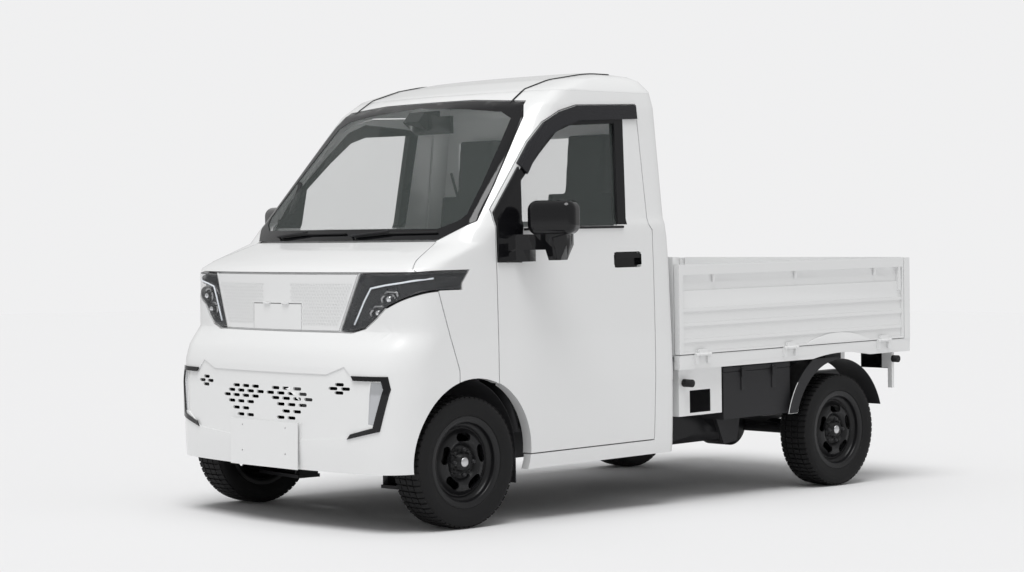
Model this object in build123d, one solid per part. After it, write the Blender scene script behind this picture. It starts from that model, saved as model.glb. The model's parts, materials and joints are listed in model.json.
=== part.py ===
from build123d import *
from math import atan2, cos, radians, sin, sqrt
import os

# Small electric cab-forward pickup truck with a flat bed and three drop gates.
# Millimetres. x runs to the vehicle's left, y rearwards, z up.
# Sprung pieces (cab, bed, frame) are drawn level, with y = 0 at the front axle and z = 0 on the
# ground, and sprung() then pitches them nose-down by RAKE. Wheels, axle and knuckles are drawn
# unpitched. The finished part stands with its origin under the middle of its bounding box.

# ---------------------------------------------------------------- overall sizes
WHEELBASE = 2383.0
TRACK = 1294.0                 # between tyre centres
FRONT_END = -451.5             # foremost point, the plate carrier's face, from the front axle
REAR_END = 2940.0              # rearmost point, the bed's top rail, from the front axle
RAKE = 1.2                     # degrees, nose down when unladen
PANEL_GAP = 5.0                # between neighbouring outer panels
SEAT_CLEAR = 0.3               # between a panel and the flange it sits on
FLANGE = 16.0                  # how far a flange reaches under its panel

# ---------------------------------------------------------------- wheels
TYRE_DIAMETER = 525.0
TYRE_WIDTH = 165.0
TREAD_WIDTH = 128.0
BEAD_RADIUS = 165.0
RIM_FLANGE_RADIUS = 182.0
SHOULDER_DROP = 44.0            # widest place of the tyre below its tread
TYRE_CROWN = 14.0
BEAD_WALL = 9.0
BORE_SIDES = 48                 # flats of the tyre's bore, round the rim's seat
AIR_SIDES = 24                  # flats of the tyre's inner space
RIM_WIDTH = 128.0
WHEEL_STUD_CIRCLE = 100.0
STUD_COUNT = 4
STUD_RADIUS = 6.5
RIM_WINDOWS = 5
AXLE_RADIUS = 22.0
AXLE_CLEAR = 0.06              # running fit, radial
STEER_ANGLE = 30.0
STEER_RATIO = 14.0

# ---------------------------------------------------------------- cab skin
# z, half width, front y, front arc radius, corner radius, rear y
CAB_SECTIONS = [
    (206, 716, -424, 3600, 170, 1242),
    (240, 722, -436, 3600, 185, 1241),
    (330, 728, -440, 3600, 190, 1239),
    (550, 737, -435, 3600, 190, 1234),
    (650, 737, -427, 3400, 190, 1231),
    (710, 737, -410, 3100, 185, 1229),
    (785, 736, -368, 2300, 165, 1226),
    (1010, 732, -364, 2300, 150, 1220),
    (1030, 731, -350, 2300, 145, 1220),
    (1060, 730, -283, 2300, 140, 1218),
    (1130, 728, -91, 2200, 125, 1214),
    (1190, 727, -37, 2150, 120, 1205),
    (1215, 717, -14, 2150, 118, 1204),
    (1690, 659, 411, 2100, 95, 1213),
    (1760, 645, 522, 2100, 100, 1203),
    (1805, 615, 673, 2100, 110, 1170),
    (1825, 580, 790, 2100, 110, 1134),
    (1842, 480, 880, 2100, 60, 1090),
]
REAR_CORNER = 45.0
SKIN = 12.0                    # hood, bumper, grille panel
GLASS = 5.0
WALL = 40.0                    # pillars, fenders, rear wall
ROOF_WALL = 26.0
ROOF_SEAM_Z = 1752.0
DOOR_WALL = 48.0
FRAME_WALL = 30.0              # door frame round the window
BELT_Z = 1186.0
GLASS_DEPTH = 13.0             # door glass below the skin
GLASS_TUCK = 9.0               # door glass reaches into its channel

# ---------------------------------------------------------------- doors
DOOR_FRONT_Y = 172.0
DOOR_REAR_Y = 1097.0
DOOR_REAR_TOP_Y = 1075.0
DOOR_BOTTOM_Z = 268.0
DOOR_HINGE_X = 707.0
DOOR_HINGE_Y = 119.0
DOOR_SWING = 65.0
HINGE_HEIGHTS = (640.0, 980.0)
HINGE_PIN_RADIUS = 6.0
HINGE_CLEAR = 0.06
HINGE_KNUCKLE_RADIUS = 11.0
HINGE_HEIGHT = 44.0
FLOOR_LOW_Z = 356.0            # underside of the cab floor over the frame

# ---------------------------------------------------------------- wheel arch of the cab
ARCH_Y = 42.0
ARCH_Z = 280.0
ARCH_RADIUS = 312.0
LINER_RADIUS = 312.0
LINER_Y = 4.0
LINER_WALL = 4.0
LINER_INNER_X = 418.0

# ---------------------------------------------------------------- bed
BED_FRONT_Y = 1250.0
BED_HALF_WIDTH = 737.0
GATE_BOTTOM_Z = 622.0
GATE_TOP_Z = 1012.0
GATE_WALL = 30.0
SKIRT_BOTTOM_Z = 556.0
BED_FLOOR_Z = 640.0            # load floor
BED_FLOOR_WALL = 22.0
POST = 46.0
REAR_ARCH_RADIUS = 330.0


def sprung(shape):
    """Pitch a level piece nose-down about the ground point under the front axle."""
    return Pos(0, -MIDDLE_Y, 0) * Rot(RAKE, 0, 0) * shape


def unsprung(shape):
    """Shift a piece drawn from the front axle to the part's origin."""
    return Pos(0, -MIDDLE_Y, 0) * shape


MIDDLE_Y = (FRONT_END + REAR_END) / 2
WHEEL_Z = TYRE_DIAMETER / 2


def level_point(y, z):
    """The level-drawing place (y, z) of a point given unpitched."""
    a = radians(RAKE)
    return y * cos(a) + z * sin(a), z * cos(a) - y * sin(a)


# ================================================================ small helpers
def box(x0, x1, y0, y1, z0, z1):
    return Pos((x0 + x1) / 2, (y0 + y1) / 2, (z0 + z1) / 2) * Box(x1 - x0, y1 - y0, z1 - z0)


def both_sides(shape):
    """The piece and its mirror image across the vehicle's middle."""
    return [shape, mirror(shape, Plane.YZ)]


def side_face(points, grow=0.0):
    """Polygon in (y, z), as a face in the plane x = 0, grown outwards."""
    flat = make_face(Polyline(*[(y, z) for y, z in points], close=True))
    if grow:
        flat = offset(flat, grow, kind=Kind.INTERSECTION)
    return flat


def side_prism(points, x0, x1, grow=0.0):
    """Prism along x of a polygon in (y, z)."""
    flat = side_face(points, grow)
    plane = Plane(origin=(x0, 0, 0), x_dir=(0, 1, 0), z_dir=(1, 0, 0))
    return extrude(plane * flat, x1 - x0)


def front_prism(points, y0, y1, grow=0.0):
    """Prism along y of a polygon in (x, z)."""
    flat = make_face(Polyline(*[(x, z) for x, z in points], close=True))
    if grow:
        flat = offset(flat, grow, kind=Kind.INTERSECTION)
    plane = Plane(origin=(0, y1, 0), x_dir=(1, 0, 0), z_dir=(0, -1, 0))
    return extrude(plane * flat, y1 - y0)


def x_cylinder(radius, x0, x1, y, z):
    return Pos((x0 + x1) / 2, y, z) * Rot(0, 90, 0) * Cylinder(radius, x1 - x0)


def rod(start, end, radius):
    """Round bar between two points."""
    a, b = Vector(*start), Vector(*end)
    plane = Plane(origin=a, z_dir=b - a)
    return extrude(plane * Circle(radius), (b - a).length)


# ================================================================ cab skin
def cab_outline(z, half_width, y_front, front_radius, corner_radius, y_rear, rear_corner):
    """Closed horizontal outline of the cab: lines and arcs."""
    cx = half_width - corner_radius
    cy = y_front + front_radius - sqrt((front_radius - corner_radius) ** 2 - cx ** 2)
    turn = atan2(cy - (y_front + front_radius), cx)
    tx = front_radius * cos(turn)
    ty = y_front + front_radius + front_radius * sin(turn)
    mx = cx + corner_radius * cos(turn / 2)
    my = cy + corner_radius * sin(turn / 2)
    ry = y_rear - rear_corner
    rx = half_width - rear_corner
    q = rear_corner * sqrt(0.5)
    front = ThreePointArc((-tx, ty, z), (0, y_front, z), (tx, ty, z))
    left = [
        ThreePointArc((tx, ty, z), (mx, my, z), (half_width, cy, z)),
        Line((half_width, cy, z), (half_width, ry, z)),
        ThreePointArc((half_width, ry, z), (rx + q, ry + q, z), (rx, y_rear, z)),
    ]
    rear = Line((rx, y_rear, z), (-rx, y_rear, z))
    right = [
        ThreePointArc((-rx, y_rear, z), (-rx - q, ry + q, z), (-half_width, ry, z)),
        Line((-half_width, ry, z), (-half_width, cy, z)),
        ThreePointArc((-half_width, cy, z), (-mx, my, z), (-tx, ty, z)),
    ]
    return Wire([front, *left, rear, *right])


CAB_FORMS = {}


def cab_solid(inset=0.0):
    """The cab's closed form, moved inwards by inset on every side, made once."""
    if inset not in CAB_FORMS:
        CAB_FORMS[inset] = loft_cab(inset)
    return CAB_FORMS[inset]


def loft_cab(inset):
    wires = []
    for z, w, yf, rf, rc, yr in CAB_SECTIONS:
        drop = inset if z > ROOF_SEAM_Z else 0.0
        lean = 1.35 if 1030 <= z <= ROOF_SEAM_Z else 1.0
        wires.append(cab_outline(
            z - drop, w - inset, yf + inset * lean, rf, max(rc - inset, 25.0), yr - inset,
            max(REAR_CORNER - inset, 6.0)))
    return Solid.make_loft(wires, ruled=True)


# ================================================================ cab panels
# outlines seen from the side are (y, z), from the front (x, z)
DOOR_OUTLINE = [
    (DOOR_FRONT_Y, 480), (DOOR_FRONT_Y, 1258), (335, 1446), (410, 1533), (502, 1615), (604, 1663),
    (707, 1690), (DOOR_REAR_TOP_Y, 1702), (DOOR_REAR_TOP_Y, 1190), (DOOR_REAR_Y, 1165),
    (DOOR_REAR_Y, DOOR_BOTTOM_Z), (330, DOOR_BOTTOM_Z),
]
HOOD_PIN_Y = 30.0
HOOD_PIN_Z = 1140.0
HOOD_EDGE = 4.0                # the hood's thin margin, so that it lifts clear of its neighbours
HOOD_MARGIN = 30.0
HOOD_ARM_X = 300.0
HOOD_ARM_WIDTH = 14.0
HOOD_ARM_RADII = (128.0, 142.0)  # gooseneck's arc round the pin
HOOD_ARM_FOOT = 77.0           # degrees below the horizontal, where the spoke meets the arc
HOOD_ARM_HEAD = 8.0            # degrees below the horizontal, where the arc meets the hood
SMALL_PIN_RADIUS = 5.0
SMALL_KNUCKLE_RADIUS = 10.0
HOOD_SWING = 55.0
FLAP_PIN_Y = -367.5
FLAP_PIN_Z = 893.0
FLAP_PIN_RADIUS = 2.5
FLAP_KNUCKLE_RADIUS = 5.0
FLAP_HINGES_X = (-60.0, 60.0)
FLAP_SWING = 80.0
WINDOW_OUTLINE = [
    (320, BELT_Z), (340, 1367), (464, 1482), (579, 1576), (662, 1604), (931, 1618), (890, BELT_Z),
]
HALF_WINDSHIELD = [(577, 1138), (646, 1184), (684, 1212), (662, 1356), (634, 1500), (604, 1640), (560, 1706),
                   (280, 1722)]
HALF_HOOD = [(697, 1016), (572, 1134)]
HALF_GRILLE = [(458, 1011), (362, 786)]
LAMP = [(466, 1011), (370, 786), (428, 784), (491, 801), (543, 841), (584, 880), (649, 911),
        (725, 944), (790, 962), (790, 1028), (700, 1016)]
BUMPER_TOP = [(362, 782), (428, 780), (494, 797), (546, 837), (587, 876), (652, 907), (728, 940), (790, 958)]
BUMPER_SEAM = [(-600, 1000), (-142, 1000), (-142, 933), (-91, 770), (-41, 627), (-41, 150), (-600, 150)]
REAR_WINDOW = [(560, 1210), (560, 1560), (540, 1580)]
# rows of the bumper's slots: height, reach to each side, blank to each side of the middle
VENT_ROWS = [(557, 226, 0), (537, 264, 0), (517, 297, 0), (493, 264, 70), (466, 231, 70), (440, 165, 70)]
VENT_PITCH = 66.0
VENT_LENGTH = 48.0
VENT_HEIGHT = 13.0
FRONT_FACE_Y = -420.0
CROSS_VENTS = [(400, 566), (466, 566), (433, 582), (433, 550)]
HALF_RECESS = [(363, 620), (455, 652), (497, 614), (592, 600), (580, 428), (482, 372), (224, 356), (224, 422)]
RECESS_DEPTH = 4.0
FOG_LAMP = [(596, 596), (638, 596), (646, 566), (612, 430), (587, 434)]
FOG_DEPTH = 9.0
LAMP_REACH = [(-600, 700), (-30, 700), (-19, 970), (29, 1030), (29, 1060), (-600, 1060)]
BUMPER_LOW = 238.0
DOOR_REACH_X = 600.0
LAMP_DEPTH = 34.0
LENS_WALL = 4.0
NOSE_REACH = 250.0             # front panels end ahead of this y


def mirrored(half):
    """Full outline from its right-hand half, listed upwards or downwards."""
    return half + [(-x, z) for x, z in reversed(half)]


def front_region(points, grow=0.0):
    return front_prism(points, -700, 700, grow)


def windshield_region(grow=0.0):
    return front_region(mirrored(HALF_WINDSHIELD), grow)


def hood_region(grow=0.0):
    return front_region(mirrored(HALF_HOOD), grow) & box(-800, 800, -700, NOSE_REACH, 0, 2000)


def grille_region(grow=0.0):
    return front_region(mirrored(HALF_GRILLE), grow) & box(-800, 800, -700, NOSE_REACH, 0, 2000)


def lamp_region(grow=0.0):
    return front_region(LAMP, grow) & side_prism(LAMP_REACH, 0, 900, grow)


def bumper_region(grow=0.0, low=BUMPER_LOW):
    top = [(x, z + grow) for x, z in BUMPER_TOP]
    outline = top + [(790, low), (-790, low)] + [(-x, z) for x, z in reversed(top)]
    return front_region(outline) & side_prism(BUMPER_SEAM, -900, 900, grow)


def vent_places():
    """Centre of each slot in the bumper's staggered rows."""
    for row, (z, reach, blank) in enumerate(VENT_ROWS):
        shift = VENT_PITCH / 2 if row % 2 else 0.0
        count = int(reach // VENT_PITCH) + 1
        for step in range(-count, count + 1):
            x = step * VENT_PITCH + shift
            if blank < abs(x) <= reach:
                yield x, z


def make_bumper():
    arch = arch_bore(ARCH_RADIUS)
    bumper = make_panel(bumper_region(-GAP2), SKIN) - arch - mirror(arch, Plane.YZ)
    bumper = bumper - (front_region(mirrored(HALF_RECESS)) & skin_layer(RECESS_DEPTH))
    slot = extrude(Plane.XZ * SlotOverall(VENT_LENGTH, VENT_HEIGHT), 40, both=True)
    vents = [Pos(x, FRONT_FACE_Y, z) * slot for x, z in vent_places()]
    for s in (1, -1):
        vents += [Pos(s * x, FRONT_FACE_Y, z) * slot for x, z in CROSS_VENTS]
    bumper = bumper - vents
    for fog in both_sides(front_region(FOG_LAMP) & skin_layer(FOG_DEPTH + SEAT_CLEAR)):
        bumper = bumper - fog
    return bumper


def arch_bore(radius, x0=LINER_INNER_X, x1=900.0):
    return x_cylinder(radius, x0, x1, ARCH_Y, ARCH_Z)


def door_region(grow=0.0):
    return side_prism(DOOR_OUTLINE, DOOR_REACH_X, 900, grow) - arch_bore(ARCH_RADIUS - grow, 300)


OUTER = cab_solid()
GAP2 = PANEL_GAP / 2


def skin_layer(depth):
    """The cab's outer layer, from its surface to a depth."""
    return OUTER - cab_solid(depth)


def make_panel(region, depth, lift=0.0):
    """A panel of the skin: the part of the outer layer inside a region."""
    layer = OUTER - cab_solid(depth)
    return region & layer


def make_cab_shell():
    wall = OUTER - cab_solid(WALL)
    shell = wall & box(-900, 900, -900, 1400, 200, ROOF_SEAM_Z)
    thin = OUTER - cab_solid(SKIN + SEAT_CLEAR)
    for region in (hood_region, grille_region):
        shell = shell - (region(GAP2) & thin) - region(-FLANGE)
    shell = shell - (bumper_region(GAP2 + SEAT_CLEAR, 150) & thin) - bumper_region(-FLANGE, 150)
    glass = OUTER - cab_solid(GLASS + SEAT_CLEAR)
    shell = shell - (windshield_region(GAP2) & glass & box(-800, 800, -300, 600, 1000, 1740))
    shell = shell - (windshield_region(-FLANGE) & box(-800, 800, -300, 600, 1000, 1740))
    rear_frame = box(-560, 560, 1150, 1300, 1210, 1580)
    shell = shell - (box(-575, 575, 1150, 1300, 1195, 1595) & glass) - rear_frame
    shell = shell - box(-640, 640, 1100, 1300, 200, FLOOR_LOW_Z)
    for side in (1, -1):
        lamp = lamp_region(GAP2) & (OUTER - cab_solid(LAMP_DEPTH + SEAT_CLEAR))
        door = door_region(GAP2)
        arch = arch_bore(ARCH_RADIUS)
        for cut in (lamp, door, arch):
            shell = shell - (cut if side > 0 else mirror(cut, Plane.YZ))
    return shell


def make_hood():
    """Hood panel with a thin margin and two gooseneck arms to its pins under the windshield."""
    hood = make_panel(hood_region(-GAP2), HOOD_EDGE) + make_panel(hood_region(-GAP2 - HOOD_MARGIN), SKIN)
    for s in (1, -1):
        x0, x1 = s * HOOD_ARM_X - HOOD_ARM_WIDTH / 2, s * HOOD_ARM_X + HOOD_ARM_WIDTH / 2
        hood = hood + (make_hood_arm(x0, x1) & cab_solid(HOOD_EDGE / 2))
        hood = hood - x_cylinder(SMALL_PIN_RADIUS + HINGE_CLEAR, x0 - 1, x1 + 1, HOOD_PIN_Y, HOOD_PIN_Z)
    return hood


def make_hood_arm(x0, x1):
    """Knuckle, spoke and arc of one gooseneck."""
    y, z, far = HOOD_PIN_Y, HOOD_PIN_Z, 400.0
    inner, outer = HOOD_ARM_RADII
    foot, head = radians(HOOD_ARM_FOOT), radians(HOOD_ARM_HEAD)
    ring = x_cylinder(outer, x0, x1, y, z) - x_cylinder(inner, x0 - 1, x1 + 1, y, z)
    wedge = [(y, z), (y - far * cos(foot), z - far * sin(foot)), (y - far, z - far), (y - far, z - far * sin(head))]
    across = HOOD_ARM_WIDTH / 2
    along = (-outer * cos(foot), -outer * sin(foot))
    side = (across * sin(foot), -across * cos(foot))
    spoke = [(y + side[0], z + side[1]), (y + along[0] + side[0], z + along[1] + side[1]),
             (y + along[0] - side[0], z + along[1] - side[1]), (y - side[0], z - side[1])]
    return (ring & side_prism(wedge, x0 - 1, x1 + 1)) + side_prism(spoke, x0, x1) \
        + x_cylinder(SMALL_KNUCKLE_RADIUS, x0, x1, y, z)


def add_hood_pins(shell):
    """Pin and two lugs for each of the hood's arms, on the bar under the windshield."""
    half = HOOD_ARM_WIDTH / 2
    for s in (1, -1):
        x = s * HOOD_ARM_X
        shell = shell + x_cylinder(SMALL_PIN_RADIUS, x - half - 9, x + half + 9, HOOD_PIN_Y, HOOD_PIN_Z)
        for e in (1, -1):
            near, wide = x + e * (half + 2), x + e * (half + 9)
            shell = shell + box(*sorted((near, wide)), -42, HOOD_PIN_Y + 8, HOOD_PIN_Z - 12, HOOD_PIN_Z + 7)
    return shell


def make_roof():
    layer = OUTER - cab_solid(ROOF_WALL)
    return layer & box(-900, 900, 0, 1400, ROOF_SEAM_Z + SEAT_CLEAR, 2000)


def make_windshield():
    return make_panel(windshield_region(-GAP2), GLASS) & box(-800, 800, -300, 600, 1000, 1740)


def make_rear_window():
    return box(-570, 570, 1150, 1300, 1200, 1590) & (OUTER - cab_solid(GLASS))


def make_door():
    lower = OUTER - cab_solid(DOOR_WALL)
    upper = OUTER - cab_solid(FRAME_WALL)
    region = door_region(-GAP2)
    below = region & lower & box(300, 900, 0, 1400, 200, BELT_Z)
    above = region & upper & box(300, 900, 0, 1400, BELT_Z, 1800)
    door = below + above
    door = door - side_prism(WINDOW_OUTLINE, 300, 900)
    # run channel for the glass, and an undercut front edge for the hinge swing
    channel = side_prism(WINDOW_OUTLINE, 300, 900, GLASS_TUCK + 1.0)
    door = door - (channel & (cab_solid(GLASS_DEPTH - SEAT_CLEAR) - cab_solid(GLASS_DEPTH + GLASS + SEAT_CLEAR)))
    undercut = box(300, 900, DOOR_FRONT_Y, DOOR_FRONT_Y + 24, 500, 1290) & cab_solid(5)
    door = door - undercut
    return door


def make_door_glass():
    layer = cab_solid(GLASS_DEPTH) - cab_solid(GLASS_DEPTH + GLASS)
    return side_prism(WINDOW_OUTLINE, 300, 900, GLASS_TUCK) & layer


# ================================================================ door hinges
def make_hinge_arm(z):
    """Door half: knuckle round the pin and a gooseneck round the fender's edge."""
    x, y, h = DOOR_HINGE_X, DOOR_HINGE_Y, HINGE_HEIGHT / 2
    knuckle = Pos(x, y, z) * Cylinder(HINGE_KNUCKLE_RADIUS, HINGE_HEIGHT)
    inner = x - 62.0
    arm = box(inner, x - 3, y - 7, y + 7, z - h, z + h)
    arm = arm + box(inner, inner + 14, y - 7, DOOR_FRONT_Y + 52, z - h, z + h)
    arm = arm + box(inner, DOOR_HINGE_X - 10, DOOR_FRONT_Y + 30, DOOR_FRONT_Y + 52, z - h, z + h)
    bore = Pos(x, y, z) * Cylinder(HINGE_PIN_RADIUS + HINGE_CLEAR, HINGE_HEIGHT + 2)
    return knuckle + arm - bore


def make_hinge_pin(z):
    """Cab half: pin between two lugs."""
    x, y, h = DOOR_HINGE_X, DOOR_HINGE_Y, HINGE_HEIGHT / 2
    pin = Pos(x, y, z) * Cylinder(HINGE_PIN_RADIUS, HINGE_HEIGHT + 2 * 12)
    lug = box(x - 40, x + 10, y - 30, y + 9, z + h + 1, z + h + 12)
    lug2 = box(x - 40, x + 10, y - 30, y + 9, z - h - 12, z - h - 1)
    back = box(x - 40, x + 10, y - 42, y - 29, z - h - 12, z + h + 12)
    return pin + lug + lug2 + back


def make_doors():
    """Left door with both gooseneck arms, in level drawing."""
    door = make_door()
    for z in HINGE_HEIGHTS:
        pocket = box(560, DOOR_HINGE_X + 40, DOOR_FRONT_Y, DOOR_FRONT_Y + 30, z - 24, z + 24)
        door = door - (pocket & cab_solid(14)) + make_hinge_arm(z)
    handle_hole = box(700, 745, 856, 1020, 1010, 1073)
    bowl = handle_hole & (OUTER - cab_solid(20))
    door = door - bowl + (box(700, 745, 862, 1014, 1048, 1070) & (OUTER - cab_solid(22)))
    return door


# ================================================================ wheels
def make_tyre():
    """Hollow tyre, drawn round x with its middle at x = 0."""
    r, w, t = TYRE_DIAMETER / 2, TYRE_WIDTH / 2, TREAD_WIDTH / 2
    seat = RIM_WIDTH / 2 - 4
    half = [(t, r), (w, r - SHOULDER_DROP), (seat, RIM_FLANGE_RADIUS + 2), (seat, BEAD_RADIUS - 5)]
    section = make_face(Polyline(*half, *[(-x, y) for x, y in reversed(half)], close=True))
    bore = extrude(Plane.YZ * RegularPolygon(BEAD_RADIUS, BORE_SIDES, major_radius=False), TYRE_WIDTH, both=True)
    air = extrude(Plane.YZ * RegularPolygon(r - TYRE_CROWN, AIR_SIDES), seat - BEAD_WALL, both=True)
    return revolve(section, Axis.X) - bore - air


def make_rim():
    """Pressed steel wheel with its hub and brake disc, outboard side at +x."""
    half, b = RIM_WIDTH / 2, BEAD_RADIUS - SEAT_CLEAR
    barrel = make_face(Polyline(
        (half + 6, RIM_FLANGE_RADIUS), (half, RIM_FLANGE_RADIUS), (half - 3, b), (half - 24, b - 2),
        (half - 34, b - 22), (-half + 40, b - 22), (-half + 24, b - 2), (-half + 3, b),
        (-half, RIM_FLANGE_RADIUS), (-half - 6, RIM_FLANGE_RADIUS), (-half - 3, b - 6),
        (-half + 26, b - 9), (-half + 38, b - 28), (half - 32, b - 28), (half - 21, b - 9),
        (half + 3, b - 6), close=True))
    disc = make_face(Polyline(
        (30, b - 24), (22, b - 24), (24, 128), (42, 110), (46, 84), (36, 72), (24, 66), (24, AXLE_RADIUS),
        (31, AXLE_RADIUS), (31, 64), (44, 74), (54, 86), (50, 114), (32, 132), close=True))
    rim = revolve(barrel, Axis.X) + revolve(disc, Axis.X)
    for i in range(RIM_WINDOWS):
        turn = 360.0 * i / RIM_WINDOWS
        window = Pos(30, 0, 0) * Rot(turn, 0, 0) * Pos(0, 0, 98) * Rot(0, 90, 0) * extrude(
            SlotOverall(74, 32, 90), 40, both=True)
        rim = rim - window
    hub = x_cylinder(58, -30, 24, 0, 0) + x_cylinder(34, 24, 60, 0, 0)
    brake = x_cylinder(118, -22, -10, 0, 0)
    rim = rim + hub + brake
    for i in range(STUD_COUNT):
        turn = 360.0 * (i + 0.5) / STUD_COUNT
        stud = Rot(turn, 0, 0) * x_cylinder(STUD_RADIUS, 20, 50, 0, WHEEL_STUD_CIRCLE / 2)
        rim = rim + stud
    return rim - x_cylinder(AXLE_RADIUS + AXLE_CLEAR, -40, 40, 0, 0)


def wheel_places():
    """Name, x, y and facing of each wheel, from the front axle."""
    rows = []
    for end, y in (("front", 0.0), ("rear", WHEELBASE)):
        for side, s in (("left", 1), ("right", -1)):
            rows.append((f"{end}_{side}", s * TRACK / 2, y, s))
    return rows


def place_wheel(piece, x, y, s):
    turned = piece if s > 0 else Rot(0, 0, 180) * piece
    return unsprung(Pos(x, y, WHEEL_Z) * turned)


# ================================================================ front axle
BALL_X = 590.0
BALL_Z = 165.0
STRUT_X = 470.0
STRUT_Z = 577.4                # top of the strut, under the wheel housing's crown
STUB_REACH = 38.0              # stub axle beyond the tyre's middle
LOWER_ARM = 14.0
BALL_RADIUS = 8.0


def kingpin_at(z):
    """x of the left kingpin axis, from the lower ball joint to the strut's top."""
    return BALL_X + (STRUT_X - BALL_X) * (z - BALL_Z) / (STRUT_Z - BALL_Z)


def ball_pin(radius, low, high):
    """Round pin along the left kingpin axis between two heights."""
    return rod((kingpin_at(low), 0, low), (kingpin_at(high), 0, high), radius)


def make_knuckle():
    """Left front knuckle with its stub axle, strut leg and steering arm."""
    outline = [(572, 157), (610, 157), (614, 200), (614, 320), (566, 352), (548, 400), (kingpin_at(446) + 16, 446),
               (kingpin_at(446) - 16, 446), (kingpin_at(400) - 14, 400), (534, 330), (572, 286)]
    upright = front_prism(outline, -26, 26)
    stub = x_cylinder(AXLE_RADIUS, 580, TRACK / 2 + STUB_REACH, 0, WHEEL_Z)
    leg = rod((kingpin_at(400), 0, 400), (kingpin_at(STRUT_Z - 46), 0, STRUT_Z - 46), 19)
    arm = box(556, 574, 20, 112, 200, 218) + box(566, 600, 10, 28, 200, 218)
    return upright + stub + leg + arm + ball_pin(BALL_RADIUS, BALL_Z - 34, BALL_Z + 5)


def make_front_suspension():
    """Crossmember, both lower arms and the steering rack."""
    body = box(-345, 345, -50, 50, 186, 236.3)
    for s in (1, -1):
        arm = [(s * 270, -60), (s * BALL_X, -20), (s * (BALL_X + 18), 0), (s * BALL_X, 20), (s * 270, 60)]
        plate = Pos(0, 0, 132) * extrude(make_face(Polyline(*arm, close=True)), LOWER_ARM)
        post = box(*sorted((s * 270, s * 300)), -50, 50, 132, 190)
        bore = ball_pin(BALL_RADIUS + AXLE_CLEAR, 120, 150)
        body = body + plate + post - (bore if s > 0 else mirror(bore, Plane.YZ))
    return body + box(-400, 400, 100, 130, 198, 228) + box(-160, 160, 40, 110, 190, 232)


def make_strut_tops():
    """Upper spring seats of the front struts, each a sleeve round its leg."""
    tops = []
    for s in (1, -1):
        low, high = (kingpin_at(STRUT_Z - 60), 0, STRUT_Z - 60), (STRUT_X, 0, STRUT_Z)
        sleeve = rod(low, high, 50) - rod((kingpin_at(STRUT_Z - 70), 0, STRUT_Z - 70),
                                          (kingpin_at(STRUT_Z - 34), 0, STRUT_Z - 34), 24)
        tops.append(sleeve if s > 0 else mirror(sleeve, Plane.YZ))
    return tops


# ================================================================ frame and running gear
RAIL_X = 330.0
RAIL_WIDTH = 60.0
RAIL_WALL = 3.0
CAB_RAIL_LOW = 238.0
CAB_RAIL_HIGH = 353.7
RAIL_LOW = 340.0
RAIL_HIGH = 455.0
RAIL_FRONT_Y = -330.0
KICK_FRONT_Y = 1262.0
KICK_REAR_Y = 1430.0
RAIL_REAR_Y = 2896.0
CAB_CROSS_Y = (-300.0, 420.0, 1180.0)
BED_CROSS_FRAME_Y = (1480.0, 2100.0, 2860.0)


def make_ladder_frame():
    """Two box rails that rise behind the cab, with their cross tubes."""
    outline = [(RAIL_FRONT_Y, CAB_RAIL_LOW), (KICK_FRONT_Y, CAB_RAIL_LOW), (KICK_REAR_Y, RAIL_LOW),
               (RAIL_REAR_Y, RAIL_LOW), (RAIL_REAR_Y, RAIL_HIGH), (KICK_REAR_Y - 20, RAIL_HIGH),
               (KICK_FRONT_Y - 10, CAB_RAIL_HIGH), (RAIL_FRONT_Y, CAB_RAIL_HIGH)]
    half = RAIL_WIDTH / 2
    frame = None
    for s in (1, -1):
        x = s * RAIL_X
        rail = side_prism(outline, x - half, x + half)
        inner = [(y, z + (RAIL_WALL if i < 4 else -RAIL_WALL)) for i, (y, z) in enumerate(outline)]
        rail = rail - side_prism(inner, x - half + RAIL_WALL, x + half - RAIL_WALL)
        frame = rail if frame is None else frame + rail
    for ys, low, high in ((CAB_CROSS_Y, CAB_RAIL_LOW, CAB_RAIL_HIGH), (BED_CROSS_FRAME_Y, RAIL_LOW, RAIL_HIGH)):
        for y in ys:
            frame = frame + box(-RAIL_X + half - 1, RAIL_X - half + 1, y - 28, y + 28, low + 12, high - 12)
    return frame


LEAF_X = RAIL_X
LEAF_WIDTH = 60.0
LEAF_FRONT_Y = 1890.0
LEAF_REAR_Y = 2860.0
LEAF_END_Z = 312.0
LEAF_THICK = 16.0
AXLE_TUBE_RADIUS = 35.0
REAR_WHEEL_Y, REAR_WHEEL_Z = level_point(WHEELBASE, WHEEL_Z)
LEAF_MID_Z = REAR_WHEEL_Z + AXLE_TUBE_RADIUS + SEAT_CLEAR


def make_spring_hangers():
    """Brackets under the rails that hold the leaf springs' ends."""
    hangers = []
    for s in (1, -1):
        for y in (LEAF_FRONT_Y, LEAF_REAR_Y):
            hangers.append(box(s * LEAF_X - 34, s * LEAF_X + 34, y - 22, y + 22,
                               LEAF_END_Z + LEAF_THICK + SEAT_CLEAR, RAIL_LOW))
    return hangers


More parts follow.
